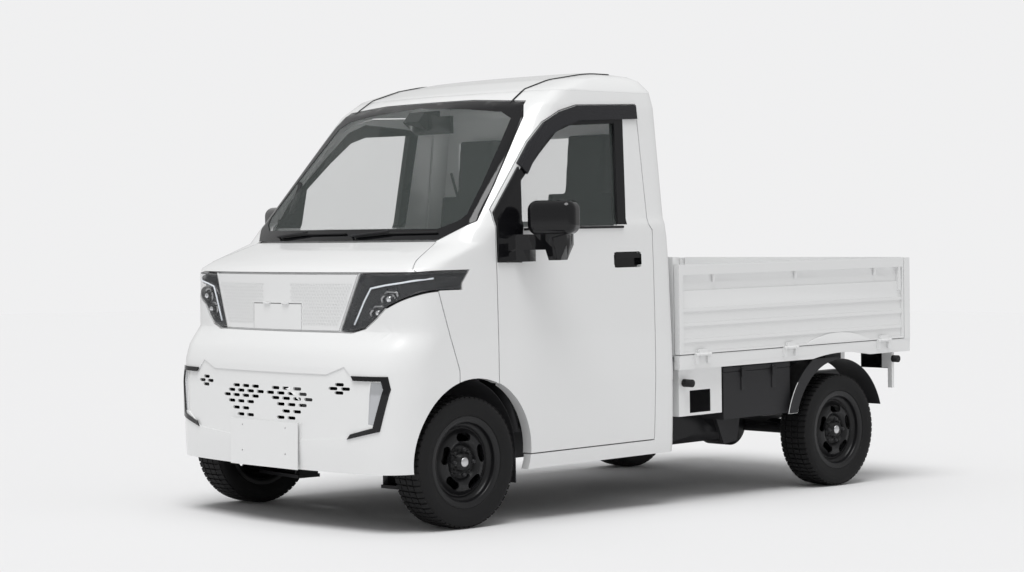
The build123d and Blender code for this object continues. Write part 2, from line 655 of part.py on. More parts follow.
def make_leaf_springs():
    springs = []
    for s in (1, -1):
        x0 = s * LEAF_X - LEAF_WIDTH / 2
        pack = None
        for share, drop in ((1.0, 0.0), (0.66, LEAF_THICK / 2)):
            ya = REAR_WHEEL_Y + (LEAF_FRONT_Y - REAR_WHEEL_Y) * share
            yb = REAR_WHEEL_Y + (LEAF_REAR_Y - REAR_WHEEL_Y) * share
            rise = (LEAF_END_Z - LEAF_MID_Z) * share ** 2
            low = ThreePointArc((ya, LEAF_MID_Z + rise), (REAR_WHEEL_Y, LEAF_MID_Z), (yb, LEAF_MID_Z + rise))
            top = ThreePointArc((yb, LEAF_MID_Z + rise + LEAF_THICK), (REAR_WHEEL_Y, LEAF_MID_Z + LEAF_THICK),
                                (ya, LEAF_MID_Z + rise + LEAF_THICK))
            ends = [Line((yb, LEAF_MID_Z + rise), (yb, LEAF_MID_Z + rise + LEAF_THICK)),
                    Line((ya, LEAF_MID_Z + rise + LEAF_THICK), (ya, LEAF_MID_Z + rise))]
            plane = Plane(origin=(x0, 0, 0), x_dir=(0, 1, 0), z_dir=(1, 0, 0))
            leaf = extrude(plane * make_face([low, ends[0], top, ends[1]]), LEAF_WIDTH)
            pack = leaf if pack is None else pack + leaf
        springs.append(pack)
    return springs


def make_rear_axle():
    """Beam axle with its drive unit, unpitched."""
    reach = TRACK / 2 - 40
    tube = x_cylinder(AXLE_TUBE_RADIUS, -reach, reach, WHEELBASE, WHEEL_Z)
    stub = x_cylinder(AXLE_RADIUS, -TRACK / 2 - 38, TRACK / 2 + 38, WHEELBASE, WHEEL_Z)
    gears = x_cylinder(112, -70, 60, WHEELBASE, WHEEL_Z)
    motor = x_cylinder(98, -60, 200, WHEELBASE - 165, WHEEL_Z + 15)
    neck = box(-60, 60, WHEELBASE - 150, WHEELBASE, WHEEL_Z - 60, WHEEL_Z + 70)
    axle = tube + stub + gears + motor + neck
    for s in (1, -1):
        axle = axle + x_cylinder(105, s * (TRACK / 2 - 52), s * (TRACK / 2 - 40), WHEELBASE, WHEEL_Z) \
            if s > 0 else axle + x_cylinder(105, -(TRACK / 2 - 40), -(TRACK / 2 - 52), WHEELBASE, WHEEL_Z)
    return axle


def make_rear_guards():
    guards = []
    ring = x_cylinder(REAR_ARCH_RADIUS + 4, 556, 726, REAR_WHEEL_Y, REAR_WHEEL_Z) \
        - x_cylinder(REAR_ARCH_RADIUS, 550, 730, REAR_WHEEL_Y, REAR_WHEEL_Z)
    ring = ring & box(0, 900, 1900, 2900, REAR_WHEEL_Z + 100, 700)
    lip = x_cylinder(REAR_ARCH_RADIUS + 62, 722, 726, REAR_WHEEL_Y, REAR_WHEEL_Z) \
        - x_cylinder(REAR_ARCH_RADIUS, 720, 730, REAR_WHEEL_Y, REAR_WHEEL_Z)
    lip = lip & box(0, 900, 1900, REAR_WHEEL_Y, REAR_WHEEL_Z + 100, SKIRT_BOTTOM_Z - SEAT_CLEAR)
    guard = ring + lip + box(560, 690, REAR_WHEEL_Y - 60, REAR_WHEEL_Y + 60,
                             REAR_WHEEL_Z + REAR_ARCH_RADIUS + 1, SKIRT_TOP_Z - 3 - SEAT_CLEAR)
    return both_sides(guard)


# ================================================================ bed
FLOOR_UNDER = BED_FLOOR_Z - BED_FLOOR_WALL
BED_REAR_Y = 2936.0
GATE_CLEAR = 5.0
GATE_PIN_OUT = 8.0             # pin beyond the gate's outer face
GATE_PIN_DROP = 4.0            # pin below the gate's lower edge
GATE_PIN_RADIUS = 4.0
GATE_KNUCKLE_RADIUS = 7.5
GATE_SWING = 174.0
GATE_HINGES_Y = (1398.0, 2008.0, 2716.0)
TAIL_HINGES_X = (-520.0, 0.0, 520.0)
GATE_RECESS = 10.0
GATE_RAIL = 46.0               # depth of the top rail
GATE_BAND_Z = 898.0            # lower edge of the deeper band under the rail
GATE_BEADS_Z = (814.0, 750.0, 679.0)
GATE_HOOKS_Y = (1492.0, 2066.0, 2666.0)
SKIRT_TOP_Z = GATE_BOTTOM_Z - GATE_CLEAR
SKIRT_WALL = 34.0
BED_CROSS_Y = (1330.0, 1700.0, 2060.0, 2730.0, 2880.0)
SIDE_GATE_FRONT_Y = 1254.0
SIDE_GATE_REAR_Y = BED_REAR_Y - POST - GATE_CLEAR
HINGE_SPAN = 56.0


def make_bed_floor():
    """Load floor with its skirts, cross sills and rear corner posts."""
    inner = BED_HALF_WIDTH - GATE_WALL - GATE_CLEAR
    floor = box(-inner, inner, 1254, BED_REAR_Y - 36, FLOOR_UNDER, BED_FLOOR_Z)
    for s in (1, -1):
        x0, x1 = sorted((s * (BED_HALF_WIDTH - SKIRT_WALL), s * (BED_HALF_WIDTH - 2)))
        skirt = box(x0, x1, 1254, BED_REAR_Y, SKIRT_BOTTOM_Z, SKIRT_TOP_Z + 1)
        floor = floor + skirt + box(*sorted((s * (inner - 20), s * BED_HALF_WIDTH - s * 2)), 1254, BED_REAR_Y,
                                    SKIRT_TOP_Z - 3, SKIRT_TOP_Z)
        post = box(*sorted((s * (BED_HALF_WIDTH - POST), s * BED_HALF_WIDTH)), BED_REAR_Y - POST, BED_REAR_Y,
                   SKIRT_TOP_Z - 1, GATE_TOP_Z - 2)
        floor = floor + post
    for y in BED_CROSS_Y:
        floor = floor + box(-690, 690, y - 30, y + 30, 590, FLOOR_UNDER + 1)
        for s in (1, -1):
            floor = floor + box(s * RAIL_X - 30, s * RAIL_X + 30, y - 30, y + 30, RAIL_HIGH, 600)
    floor = floor + box(-BED_HALF_WIDTH + POST, BED_HALF_WIDTH - POST, BED_REAR_Y - 36, BED_REAR_Y, SKIRT_BOTTOM_Z,
                        SKIRT_TOP_Z)
    # a groove parts the load floor from the strip that carries the headboard
    floor = floor - box(-750, 750, 1276.5, 1280, BED_FLOOR_Z - 2, BED_FLOOR_Z + 1)
    rise = 1200.0
    arch = x_cylinder(rise, -900, 900, REAR_WHEEL_Y + 10, SKIRT_BOTTOM_Z + 20 - rise)
    return floor - arch


def add_gate_pins(floor):
    """Fixed hinge pins with an eye at each end, on the skirts and the rear sill."""
    z = GATE_BOTTOM_Z - GATE_PIN_DROP
    for s in (1, -1):
        x = s * (BED_HALF_WIDTH + GATE_PIN_OUT)
        for y in GATE_HINGES_Y:
            floor = floor + Pos(x, y, z) * Rot(90, 0, 0) * Cylinder(GATE_PIN_RADIUS, HINGE_SPAN + 42)
            for e in (1, -1):
                ye = y + e * (HINGE_SPAN / 2 + 12)
                eye = Pos(x, ye, z) * Rot(90, 0, 0) * Cylinder(GATE_KNUCKLE_RADIUS, 20)
                leaf = box(*sorted((s * (BED_HALF_WIDTH - 4), x + s * 2)), ye - 10, ye + 10, z - 40, z - 2)
                floor = floor + eye + leaf
    y = BED_REAR_Y + GATE_PIN_OUT
    for x in TAIL_HINGES_X:
        floor = floor + Pos(x, y, z) * Rot(0, 90, 0) * Cylinder(GATE_PIN_RADIUS, HINGE_SPAN + 42)
        for e in (1, -1):
            xe = x + e * (HINGE_SPAN / 2 + 12)
            floor = floor + Pos(xe, y, z) * Rot(0, 90, 0) * Cylinder(GATE_KNUCKLE_RADIUS, 20)
            floor = floor + box(xe - 10, xe + 10, BED_REAR_Y - 4, y + 2, z - 40, z - 2)
    return floor


def make_side_gate():
    """Left drop gate with its top rail and hinge knuckles."""
    x1 = BED_HALF_WIDTH
    x0 = x1 - GATE_WALL
    gate = box(x0, x1, SIDE_GATE_FRONT_Y, SIDE_GATE_REAR_Y, GATE_BOTTOM_Z, GATE_TOP_Z)
    y0, y1 = SIDE_GATE_FRONT_Y + 26, SIDE_GATE_REAR_Y - 12
    face = x1 - GATE_RECESS
    gate = gate - box(face, x1 + 5, y0, y1, GATE_BOTTOM_Z + 8, GATE_TOP_Z - GATE_RAIL)
    gate = gate - box(face - 6, x1, y0, y1, GATE_BAND_Z, GATE_TOP_Z - GATE_RAIL)
    for z in GATE_BEADS_Z:
        gate = gate + box(face - 1, face + 5, y0 - 1, y1 + 1, z - 7, z + 7)
    low = GATE_BOTTOM_Z + 7
    swell = make_face([ThreePointArc((2141, low), (2377, low + 42), (2613, low)), Line((2613, low), (2141, low))])
    gate = gate + extrude(Plane(origin=(face - 1, 0, 0), x_dir=(0, 1, 0), z_dir=(1, 0, 0)) * swell, GATE_RECESS - 1)
    for y in GATE_HOOKS_Y:
        gate = gate + Pos(x1 - 10, y, GATE_TOP_Z - GATE_RAIL - 16) * Cylinder(8, 36)
    gate = gate + box(face - 7, x1 - 1, y1 - 28, y1 - 8, 852, 972)
    x, z = x1 + GATE_PIN_OUT, GATE_BOTTOM_Z - GATE_PIN_DROP
    for y in GATE_HINGES_Y:
        gate = gate + Pos(x, y, z) * Rot(90, 0, 0) * Cylinder(GATE_KNUCKLE_RADIUS, HINGE_SPAN)
        gate = gate + box(x1 - 1, x + 3, y - HINGE_SPAN / 2, y + HINGE_SPAN / 2, z, z + 24)
        gate = gate - Pos(x, y, z) * Rot(90, 0, 0) * Cylinder(GATE_PIN_RADIUS + HINGE_CLEAR, HINGE_SPAN + 2)
    return gate


def make_tailgate():
    half = BED_HALF_WIDTH - POST - GATE_CLEAR
    y1 = BED_REAR_Y
    y0 = y1 - GATE_WALL
    gate = box(-half, half, y0, y1, GATE_BOTTOM_Z, GATE_TOP_Z)
    face = y1 - GATE_RECESS
    gate = gate - box(-half + 30, half - 30, face, y1 + 5, GATE_BOTTOM_Z + 8, GATE_TOP_Z - GATE_RAIL)
    gate = gate - box(-half + 30, half - 30, face - 6, y1, GATE_BAND_Z, GATE_TOP_Z - GATE_RAIL)
    for z in GATE_BEADS_Z:
        gate = gate + box(-half + 29, half - 29, face - 1, face + 5, z - 7, z + 7)
    y, z = y1 + GATE_PIN_OUT, GATE_BOTTOM_Z - GATE_PIN_DROP
    for x in TAIL_HINGES_X:
        gate = gate + Pos(x, y, z) * Rot(0, 90, 0) * Cylinder(GATE_KNUCKLE_RADIUS, HINGE_SPAN)
        gate = gate + box(x - HINGE_SPAN / 2, x + HINGE_SPAN / 2, y1 - 1, y + 3, z, z + 24)
        gate = gate - Pos(x, y, z) * Rot(0, 90, 0) * Cylinder(GATE_PIN_RADIUS + HINGE_CLEAR, HINGE_SPAN + 2)
    return gate


def make_headboard():
    half = BED_HALF_WIDTH - GATE_WALL - GATE_CLEAR
    board = box(-half, half, 1254, 1276, BED_FLOOR_Z, 1046)
    return board - box(-half + 60, half - 60, 1266, 1280, BED_FLOOR_Z + 60, 1000)


STRAPS_Y = (1714.0, 1930.0)


def make_side_brackets():
    """White corner plates under the bed with a square window."""
    face = BED_HALF_WIDTH - SKIRT_WALL - SEAT_CLEAR
    plate = box(face - 4, face, 1282, 1568, 350, SKIRT_BOTTOM_Z + 34)
    plate = plate - box(690, 710, 1354, 1492, 362, 460)
    web = box(640, face - 3, 1282, 1286, 350, SKIRT_BOTTOM_Z + 34)
    rear = box(face - 8, 720, 2808, 2826, 384, SKIRT_BOTTOM_Z - SEAT_CLEAR) \
        + box(660, face, 2808, 2826, 480, 590)
    return both_sides(plate + web) + both_sides(rear)


def make_buffers():
    stops = []
    for y, z in ((1316, 496), (2806, 524)):
        stops += both_sides(x_cylinder(17, 702.7 + SEAT_CLEAR, 752, y, z) if y < 2000
                            else x_cylinder(17, 720 + SEAT_CLEAR, 752, y + 11, z))
    return stops


def make_side_box():
    """Equipment box hung under the bed, with its lid's edge and two strap catches."""
    case = box(470, 700, 1582, 2052, 316, 548) + box(500, 690, 1600, 2030, 548, 590)
    case = case - box(696, 701, 1580, 2054, 524, 528)
    for y in STRAPS_Y:
        case = case + box(699, 705, y - 12, y + 12, 440, 545) + box(704, 711, y - 15, y + 15, 500, 534)
    return case


def make_battery_pack():
    """Traction battery slung between and under the rails, with its hanger plates."""
    inner = RAIL_X - RAIL_WIDTH / 2 - 1
    pack = box(-inner, inner, 470, 1140, 196, 344) + box(-inner, inner, 1139, 1450, 196, 246)
    pack = pack + box(-455, 455, 1440, 1850, 196, RAIL_LOW - SEAT_CLEAR)
    for s in (1, -1):
        plate = side_prism([(1690, 314), (1862, 314), (1836, 196), (1746, 186)], *sorted((s * 540, s * 560)))
        pack = pack + plate + box(*sorted((s * 450, s * 545)), 1720, 1830, 240, 300)
    return pack


def make_tail_lamps():
    return both_sides(box(470, 640, BED_REAR_Y - 40, BED_REAR_Y - 4, 470, SKIRT_BOTTOM_Z - SEAT_CLEAR))


REAR_PLATE_HOLE = 105.0        # each fixing hole's distance from the middle
REAR_PLATE_Z = 500.0


def make_rear_plate():
    """Plate holder behind the rear sill with two fixing holes."""
    plate = box(-170, 170, BED_REAR_Y - 14, BED_REAR_Y - 8, 400, SKIRT_BOTTOM_Z - SEAT_CLEAR)
    for x in (-REAR_PLATE_HOLE, REAR_PLATE_HOLE):
        plate = plate - Pos(x, BED_REAR_Y - 11, REAR_PLATE_Z) * Rot(90, 0, 0) * Cylinder(3.5, 20)
    return plate


# ================================================================ cab inside
def make_cab_floor():
    """Toe board, floor, seat riser and rear platform as one pressed sheet."""
    top = [(70, 1060), (90, 680), (250, 640), (340, 372), (620, 372), (640, 556), (1190, 556)]
    t = 18.0
    under = [(1190, 556 - t), (640 + t, 556 - t), (640, 372 - t), (326, 372 - t), (240, 622), (72, 664), (52, 1060)]
    sheet = side_prism(top + under, -900, 900) & cab_solid(WALL + SEAT_CLEAR)
    arch = x_cylinder(LINER_RADIUS + 12, 406, 900, LINER_Y, ARCH_Z)
    clear = box(DOOR_INNER_X, 900, 150, 1400, 250, 1200)
    sheet = sheet - arch - mirror(arch, Plane.YZ) - clear - mirror(clear, Plane.YZ)
    pockets = box(HINGE_ROOM_X, 900, 60, 300, 600, 1010)
    return sheet - pockets - mirror(pockets, Plane.YZ)


DOOR_INNER_X = 670.0           # cab floor and sills stay inboard of the doors
HINGE_ROOM_X = 636.0           # inboard of the gooseneck arms
SEAT_X = 350.0
DASH_HALF = HINGE_ROOM_X - 2


def make_seat():
    cushion = box(SEAT_X - 225, SEAT_X + 225, 650, 1090, 556 + SEAT_CLEAR, 690)
    back = side_prism([(985, 690), (1085, 690), (1150, 1330), (1060, 1330)], SEAT_X - 215, SEAT_X + 215)
    head = side_prism([(1060, 1330), (1148, 1330), (1160, 1585), (1085, 1585)], SEAT_X - 110, SEAT_X + 110)
    return cushion + back + head


def make_dashboard():
    return side_prism([(70.4, 1061), (70.4, 1112), (300, 1104), (350, 1050), (335, 930), (240, 830), (82.5, 830)],
                      -DASH_HALF, DASH_HALF)


COLUMN_TOP = (SEAT_X, 445.0, 1000.0)
COLUMN_LEAN = 40.0             # degrees from upright, top towards the driver
STEERING_RADIUS = 178.0
COLUMN_SHAFT = 10.0


def column_frame():
    """Plane at the steering wheel's hub, with its normal up the column."""
    a = radians(COLUMN_LEAN)
    return Plane(origin=COLUMN_TOP, x_dir=(1, 0, 0), z_dir=(0, sin(a), cos(a)))


def make_steering_wheel():
    ring = Torus(STEERING_RADIUS, 13)
    hub = Pos(0, 0, -12) * Cylinder(52, 40)
    wheel = ring + hub
    for turn in (0, 180, 270):
        wheel = wheel + Rot(0, 0, turn) * Pos(STEERING_RADIUS / 2 + 10, 0, -6) * Box(STEERING_RADIUS - 40, 34, 14)
    bore = Pos(0, 0, -20) * Cylinder(COLUMN_SHAFT + AXLE_CLEAR, 40)
    return column_frame() * (wheel - bore)


def make_steering_column():
    shaft = Pos(0, 0, -60) * Cylinder(COLUMN_SHAFT, 110)
    tube = Pos(0, 0, -120) * Cylinder(34, 150)
    column = column_frame() * (shaft + tube)
    return column - make_dashboard()


def make_mirror_pod():
    """Inside mirror and sensor pod under the windshield's top edge."""
    return side_prism([(374.7, 1640), (413.9, 1684), (500, 1690), (500, 1650), (430, 1600)], -50, 50) \
        + box(-120, 120, 498, 512, 1590, 1665)


# ================================================================ mirrors, visors, lamps
MIRROR_X = 876.0
MIRROR_Y = 352.0
MIRROR_TURN = 22.0


def make_mirror():
    sail = side_prism([(DOOR_FRONT_Y + 4, 1046), (304, 1043), (318, 1184), (336, 1366), (336, 1430),
                       (DOOR_FRONT_Y + 4, 1246)], 600, 900) & (OUTER_GROWN - OUTER)
    place = Pos(MIRROR_X, MIRROR_Y, 0) * Rot(0, 0, MIRROR_TURN)
    arm = place * box(-190, 40, -28, 36, 1094, 1156) - OUTER
    foot = place * box(-190, -95, -26, 34, 1047, 1096) - OUTER
    head = Box(206, 112, 138)
    head = Pos(0, 0, 1222) * fillet(head.edges(), 40)
    glass = box(-88, 82, 46, 60, 1170, 1276)
    pod = front_prism([(-24, 1170), (66, 1170), (66, 1112), (38, 1052), (-12, 1052), (-26, 1096)], -30, 44)
    return sail + arm + foot + place * (head - glass + pod)


def make_visor():
    outline = [(338, 1444), (412, 1530), (504, 1612), (606, 1660), (709, 1687), (1070, 1699), (1070, 1640),
               (712, 1625), (620, 1600), (530, 1556), (440, 1478), (380, 1400)]
    return side_prism(outline, 500, 900) & (OUTER_GROWN - OUTER)


OUTER_GROWN = cab_solid(-10.0)   # the cab's closed form, 10 mm larger


LAMP_RIM = 7.0
LAMP_FLOOR = 26.0
PROJECTOR_RADIUS = 15.0
# projector units: middle x and z, half length and half height of the bright frame round each
PROJECTORS = [(590, 913, 34, 20), (541, 858, 38, 19)]
LIGHT_GUIDE = [(408, 800), (425, 800), (520, 950), (640, 968), (722, 990), (722, 1004), (636, 984), (506, 966)]


def make_lamp_housing():
    """Dish of the lamp with two framed projectors and the light guide along its upper edge."""
    front = cab_solid(LENS_WALL + SEAT_CLEAR)
    dish = lamp_region(-GAP2) & (front - cab_solid(LAMP_DEPTH))
    bowl = lamp_region(-GAP2 - LAMP_RIM) & (front - cab_solid(LAMP_FLOOR))
    inside = front_region(LIGHT_GUIDE) & (cab_solid(LAMP_RIM + 3) - cab_solid(LAMP_DEPTH - 2))
    for x, z, half, high in PROJECTORS:
        frame = box(x - half, x + high, -700, 0, z - high, z + high)
        frame = frame - box(x - half - 1, x + high - 6, -700, 0, z - high + 6, z + high - 6)
        inside = inside + (frame & (cab_solid(LAMP_RIM) - cab_solid(LAMP_DEPTH - 2)))
        barrel = Pos(x, -300, z) * Rot(90, 0, 0) * Cylinder(PROJECTOR_RADIUS, 200)
        inside = inside + (barrel & (cab_solid(LAMP_RIM + 5) - cab_solid(LAMP_DEPTH - 2)))
    return dish - bowl + (inside & lamp_region(-GAP2 - 1))


def make_lamp_lens():
    return lamp_region(-GAP2) & (OUTER - cab_solid(LENS_WALL))


DRL = [(498, 618), (660, 618), (672, 568), (635, 406), (482, 371), (500, 392), (610, 420), (650, 568), (640, 600),
       (510, 600)]


def make_drl():
    """Black blade round the fog lamp, standing proud, and the lamp's lens in its pocket."""
    blade = front_region(DRL) & (cab_solid(-5) - OUTER)
    lens = front_region(FOG_LAMP, -SEAT_CLEAR) & skin_layer(FOG_DEPTH)
    return [blade, lens]


def make_arch_liner():
    y, z = LINER_Y, ARCH_Z
    outer = x_cylinder(LINER_RADIUS + LINER_WALL, LINER_INNER_X - LINER_WALL, 900, y, z)
    inner = x_cylinder(LINER_RADIUS, LINER_INNER_X, 901, y, z)
    keep = box(0, 900, -700, 700, 240, 900)
    wall_hole = box(300, LINER_INNER_X + 10, -150, 150, 100, 520)
    liner = ((outer - inner) & keep) - wall_hole
    liner = liner & cab_solid(SKIN + SEAT_CLEAR)
    liner = liner - box(DOOR_INNER_X, 900, 100, 700, 0, 900)
    liner = liner - (OUTER - cab_solid(WALL + SEAT_CLEAR))
    return liner


def make_mud_flap():
    rear = LINER_Y + LINER_RADIUS
    return box(540, DOOR_INNER_X, rear, rear + LINER_WALL + 1, 150, 250)


def make_cowl():
    return box(-560, 560, 96, 130, 1111.6, 1150)


# ================================================================ parts
def chassis_pieces():
    """Level pieces of the body that never moves: name and what makes it."""
    return {
        "ladder_frame": lambda: add_all(make_ladder_frame(), make_spring_hangers()),
        "cab_shell": lambda: add_hood_pins(add_hinge_pins(make_cab_shell())),
        "roof_panel": make_roof,
        "windshield": make_windshield,
        "rear_window": make_rear_window,
        "cab_floor": make_cab_floor,
        "front_bumper": make_bumper,
        "grille_panel": make_grille_panel,
        "headlamp_housings": lambda: both_sides(make_lamp_housing()),
        "headlamp_lenses": lambda: both_sides(make_lamp_lens()),
        "drl_blades": lambda: [lamp for piece in make_drl() for lamp in both_sides(piece)],
        "arch_liners": lambda: both_sides(make_arch_liner() + make_mud_flap()),
        "cowl": make_cowl,
        "dashboard": make_dashboard,
        "steering_column": make_steering_column,
        "mirror_pod": make_mirror_pod,
        "seat_driver": make_seat,
        "seat_passenger": lambda: mirror(make_seat(), Plane.YZ),
        "battery_pack": make_battery_pack,
        "side_box": make_side_box,
        "leaf_springs": make_leaf_springs,
        "rear_guards": make_rear_guards,
        "bed_floor": lambda: add_gate_pins(make_bed_floor()),
        "headboard": make_headboard,
        "side_brackets": make_side_brackets,
        "gate_buffers": make_buffers,
        "tail_lamps": make_tail_lamps,
        "rear_plate_holder": make_rear_plate,
    }


def moving_pieces():
    """Level pieces that turn on a hinge."""
    return {
        "hood": make_hood,
        "charge_flap": make_charge_flap,
        "door_left": make_doors,
        "door_glass_left": make_door_glass,
        "mirror_left": make_mirror,
        "visor_left": make_visor,
        "gate_left": make_side_gate,
        "tailgate": make_tailgate,
        "steering_wheel": make_steering_wheel,
    }


MIRRORED = ("door_left", "door_glass_left", "mirror_left", "visor_left", "gate_left")


def add_all(shape, others):
    for other in others:
        shape = shape + other
    return shape


def add_hinge_pins(shell):
    """Cut a pocket for each door hinge and put its pin and lugs in."""
    for z in HINGE_HEIGHTS:
        for s in (1, -1):
            pocket = box(DOOR_HINGE_X - 76, DOOR_HINGE_X + 16, DOOR_HINGE_Y - 22, DOOR_FRONT_Y + 40,
                         z - HINGE_HEIGHT / 2 - 6, z + HINGE_HEIGHT / 2 + 6)
            pin = make_hinge_pin(z)
            if s < 0:
                pocket, pin = mirror(pocket, Plane.YZ), mirror(pin, Plane.YZ)
            shell = shell - pocket + pin
    return shell


def write(name, shape):
    solids = shape if isinstance(shape, list) else [shape]
    flat = [piece for item in solids for piece in item.solids()]
    result = flat[0] if len(flat) == 1 else Compound(children=flat)
    export_step(result, os.path.join("parts", name + ".step"))


def main():
    os.makedirs("parts", exist_ok=True)
    for name, make in {**chassis_pieces(), **moving_pieces()}.items():
        made = make()
        solids = made if isinstance(made, list) else [made]
        write(name, [sprung(piece) for item in solids for piece in item.solids()])
        if name in MIRRORED:
            flipped = [sprung(mirror(piece, Plane.YZ)) for item in solids for piece in item.solids()]
            write(name.replace("left", "right"), flipped)
    write("plate_carrier", make_plate_carrier_world())
    write("rear_axle", unsprung(make_rear_axle()))
    write("front_suspension", unsprung(make_front_suspension()))
    write("strut_tops", [unsprung(top) for top in make_strut_tops()])
    knuckle = make_knuckle()
    write("knuckle_left", unsprung(knuckle))
    write("knuckle_right", unsprung(mirror(knuckle, Plane.YZ)))
    tyre, rim = make_tyre(), make_rim()
    for name, x, y, s in wheel_places():
        write("tyre_" + name, place_wheel(tyre, x, y, s))
        write("rim_" + name, place_wheel(rim, x, y, s))


# ================================================================ grille, flap, plate
PLATE_WALL = 4.2
FLAP_HALF = 155.0
FLAP_LOW = 786.0
FLAP_HIGH = 892.0


def flap_region(grow=0.0):
    outline = [(-FLAP_HALF, FLAP_LOW - 10), (-FLAP_HALF, FLAP_HIGH), (FLAP_HALF, FLAP_HIGH), (FLAP_HALF, FLAP_LOW - 10)]
    return front_prism(outline, -700, 0, grow)


def flap_barrels(radius, first, last):
    """A cylinder on the flap's hinge line at each hinge, between two distances from its middle."""
    rows = []
    for x in FLAP_HINGES_X:
        for e in (1, -1) if first else (1,):
            ends = sorted((x + e * first, x + e * last)) if first else (x - last, x + last)
            rows.append(x_cylinder(radius, *ends, FLAP_PIN_Y, FLAP_PIN_Z))
    return rows


def make_grille_panel():
    """Nose panel with the opening for the flap and the flap's hinge pins."""
    panel = make_panel(grille_region(-GAP2), SKIN) - flap_region(1.5)
    panel = panel - flap_barrels(FLAP_KNUCKLE_RADIUS + 1, 0, 11)
    return panel + flap_barrels(FLAP_KNUCKLE_RADIUS, 12, 20) + flap_barrels(FLAP_PIN_RADIUS, 0, 14)


def make_charge_flap():
    """Flap with one knuckle round each pin."""
    flap = make_panel(grille_region(-GAP2), SKIN) & flap_region(-1.5)
    for x in FLAP_HINGES_X:
        for e in (1, -1):
            ends = sorted((x + e * 11, x + e * 21))
            flap = flap - x_cylinder(FLAP_KNUCKLE_RADIUS + 1, *ends, FLAP_PIN_Y, FLAP_PIN_Z)
    flap = flap + flap_barrels(FLAP_KNUCKLE_RADIUS, 0, 10)
    return flap - flap_barrels(FLAP_PIN_RADIUS + HINGE_CLEAR, 0, 12)


def make_plate_carrier_world():
    plate = unsprung(box(-218, 218, FRONT_END, FRONT_END + PLATE_WALL, 228, 414))
    for x in (-140, 140):
        for z in (286, 390):
            plate = plate - unsprung(Pos(x, FRONT_END + 2, z) * Rot(90, 0, 0) * Cylinder(3.5, 20))
    return plate


if __name__ == "__main__":
    main()
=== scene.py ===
"""Looks of a small electric drop-side truck: every finish, and the pieces too fine for the CAD model."""
import json
import math

import bmesh
import bpy
import numpy as np
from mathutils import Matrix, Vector, kdtree
from mathutils.bvhtree import BVHTree

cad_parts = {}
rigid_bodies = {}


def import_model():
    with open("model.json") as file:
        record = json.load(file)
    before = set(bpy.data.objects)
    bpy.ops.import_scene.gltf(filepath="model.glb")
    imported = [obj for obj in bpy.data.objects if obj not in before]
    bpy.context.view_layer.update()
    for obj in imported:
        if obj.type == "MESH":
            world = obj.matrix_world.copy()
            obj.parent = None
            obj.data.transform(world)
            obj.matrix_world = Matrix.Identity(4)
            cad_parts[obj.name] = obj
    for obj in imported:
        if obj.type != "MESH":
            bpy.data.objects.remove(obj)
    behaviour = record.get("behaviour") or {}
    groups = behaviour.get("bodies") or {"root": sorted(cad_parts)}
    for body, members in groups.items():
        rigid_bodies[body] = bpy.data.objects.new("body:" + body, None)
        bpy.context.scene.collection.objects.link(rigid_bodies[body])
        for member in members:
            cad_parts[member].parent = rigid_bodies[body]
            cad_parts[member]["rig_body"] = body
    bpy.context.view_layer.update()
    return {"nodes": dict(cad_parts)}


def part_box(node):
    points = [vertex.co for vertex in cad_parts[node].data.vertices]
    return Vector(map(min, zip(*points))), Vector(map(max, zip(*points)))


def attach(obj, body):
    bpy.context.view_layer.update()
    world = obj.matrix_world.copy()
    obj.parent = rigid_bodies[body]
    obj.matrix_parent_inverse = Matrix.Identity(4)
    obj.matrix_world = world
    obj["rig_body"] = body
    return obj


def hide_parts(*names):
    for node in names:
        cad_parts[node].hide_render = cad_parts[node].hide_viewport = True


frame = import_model()

bl_info = {
    "name": "Small drop-side truck looks",
    "version": (1, 0, 0),
    "blender": (4, 5, 0),
    "location": "View3D > Sidebar > Truck",
    "description": "Finishes and fine pieces for a packed model of a small electric truck",
    "category": "Object",
}

MM = 0.001
RAKE = math.radians(1.2)        # the body stands nose-down by this much
FRONT_AXLE_Y = (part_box("tyre_front_left")[0].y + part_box("tyre_front_left")[1].y) / 2
WHEELS = ("front_left", "front_right", "rear_left", "rear_right")


# ------------------------------------------------------------------ places
def level(x, y, z):
    """A point of the body, drawn level in mm from the front axle's foot, in the row frame in metres."""
    c, s = math.cos(RAKE), math.sin(RAKE)
    return Vector((x * MM, (y * c - z * s) * MM + FRONT_AXLE_Y, (y * s + z * c) * MM))


def unlevel(point):
    """The level body coordinates in mm of a point in the row frame."""
    c, s = math.cos(RAKE), math.sin(RAKE)
    y, z = (point[1] - FRONT_AXLE_Y) / MM, point[2] / MM
    return point[0] / MM, y * c + z * s, -y * s + z * c


def level_turn(direction):
    """A direction of the level body in the row frame."""
    c, s = math.cos(RAKE), math.sin(RAKE)
    x, y, z = direction
    return Vector((x, y * c - z * s, y * s + z * c))


# ------------------------------------------------------------------ mesh helpers
def new_object(name, mesh):
    """An object that holds the mesh, in the scene."""
    obj = bpy.data.objects.new(name, mesh)
    bpy.context.scene.collection.objects.link(obj)
    return obj


def from_bmesh(name, bm, material=None):
    """An object made of a bmesh, which is freed."""
    mesh = bpy.data.meshes.new(name)
    bm.to_mesh(mesh)
    bm.free()
    if material is not None:
        mesh.materials.append(material)
    return new_object(name, mesh)


def from_faces(name, verts, faces, material=None, smooth=True):
    """An object made of points and faces."""
    mesh = bpy.data.meshes.new(name)
    mesh.from_pydata([tuple(v) for v in verts], [], faces)
    mesh.validate()
    if material is not None:
        mesh.materials.append(material)
    if smooth:
        mesh.shade_smooth()
    return new_object(name, mesh)


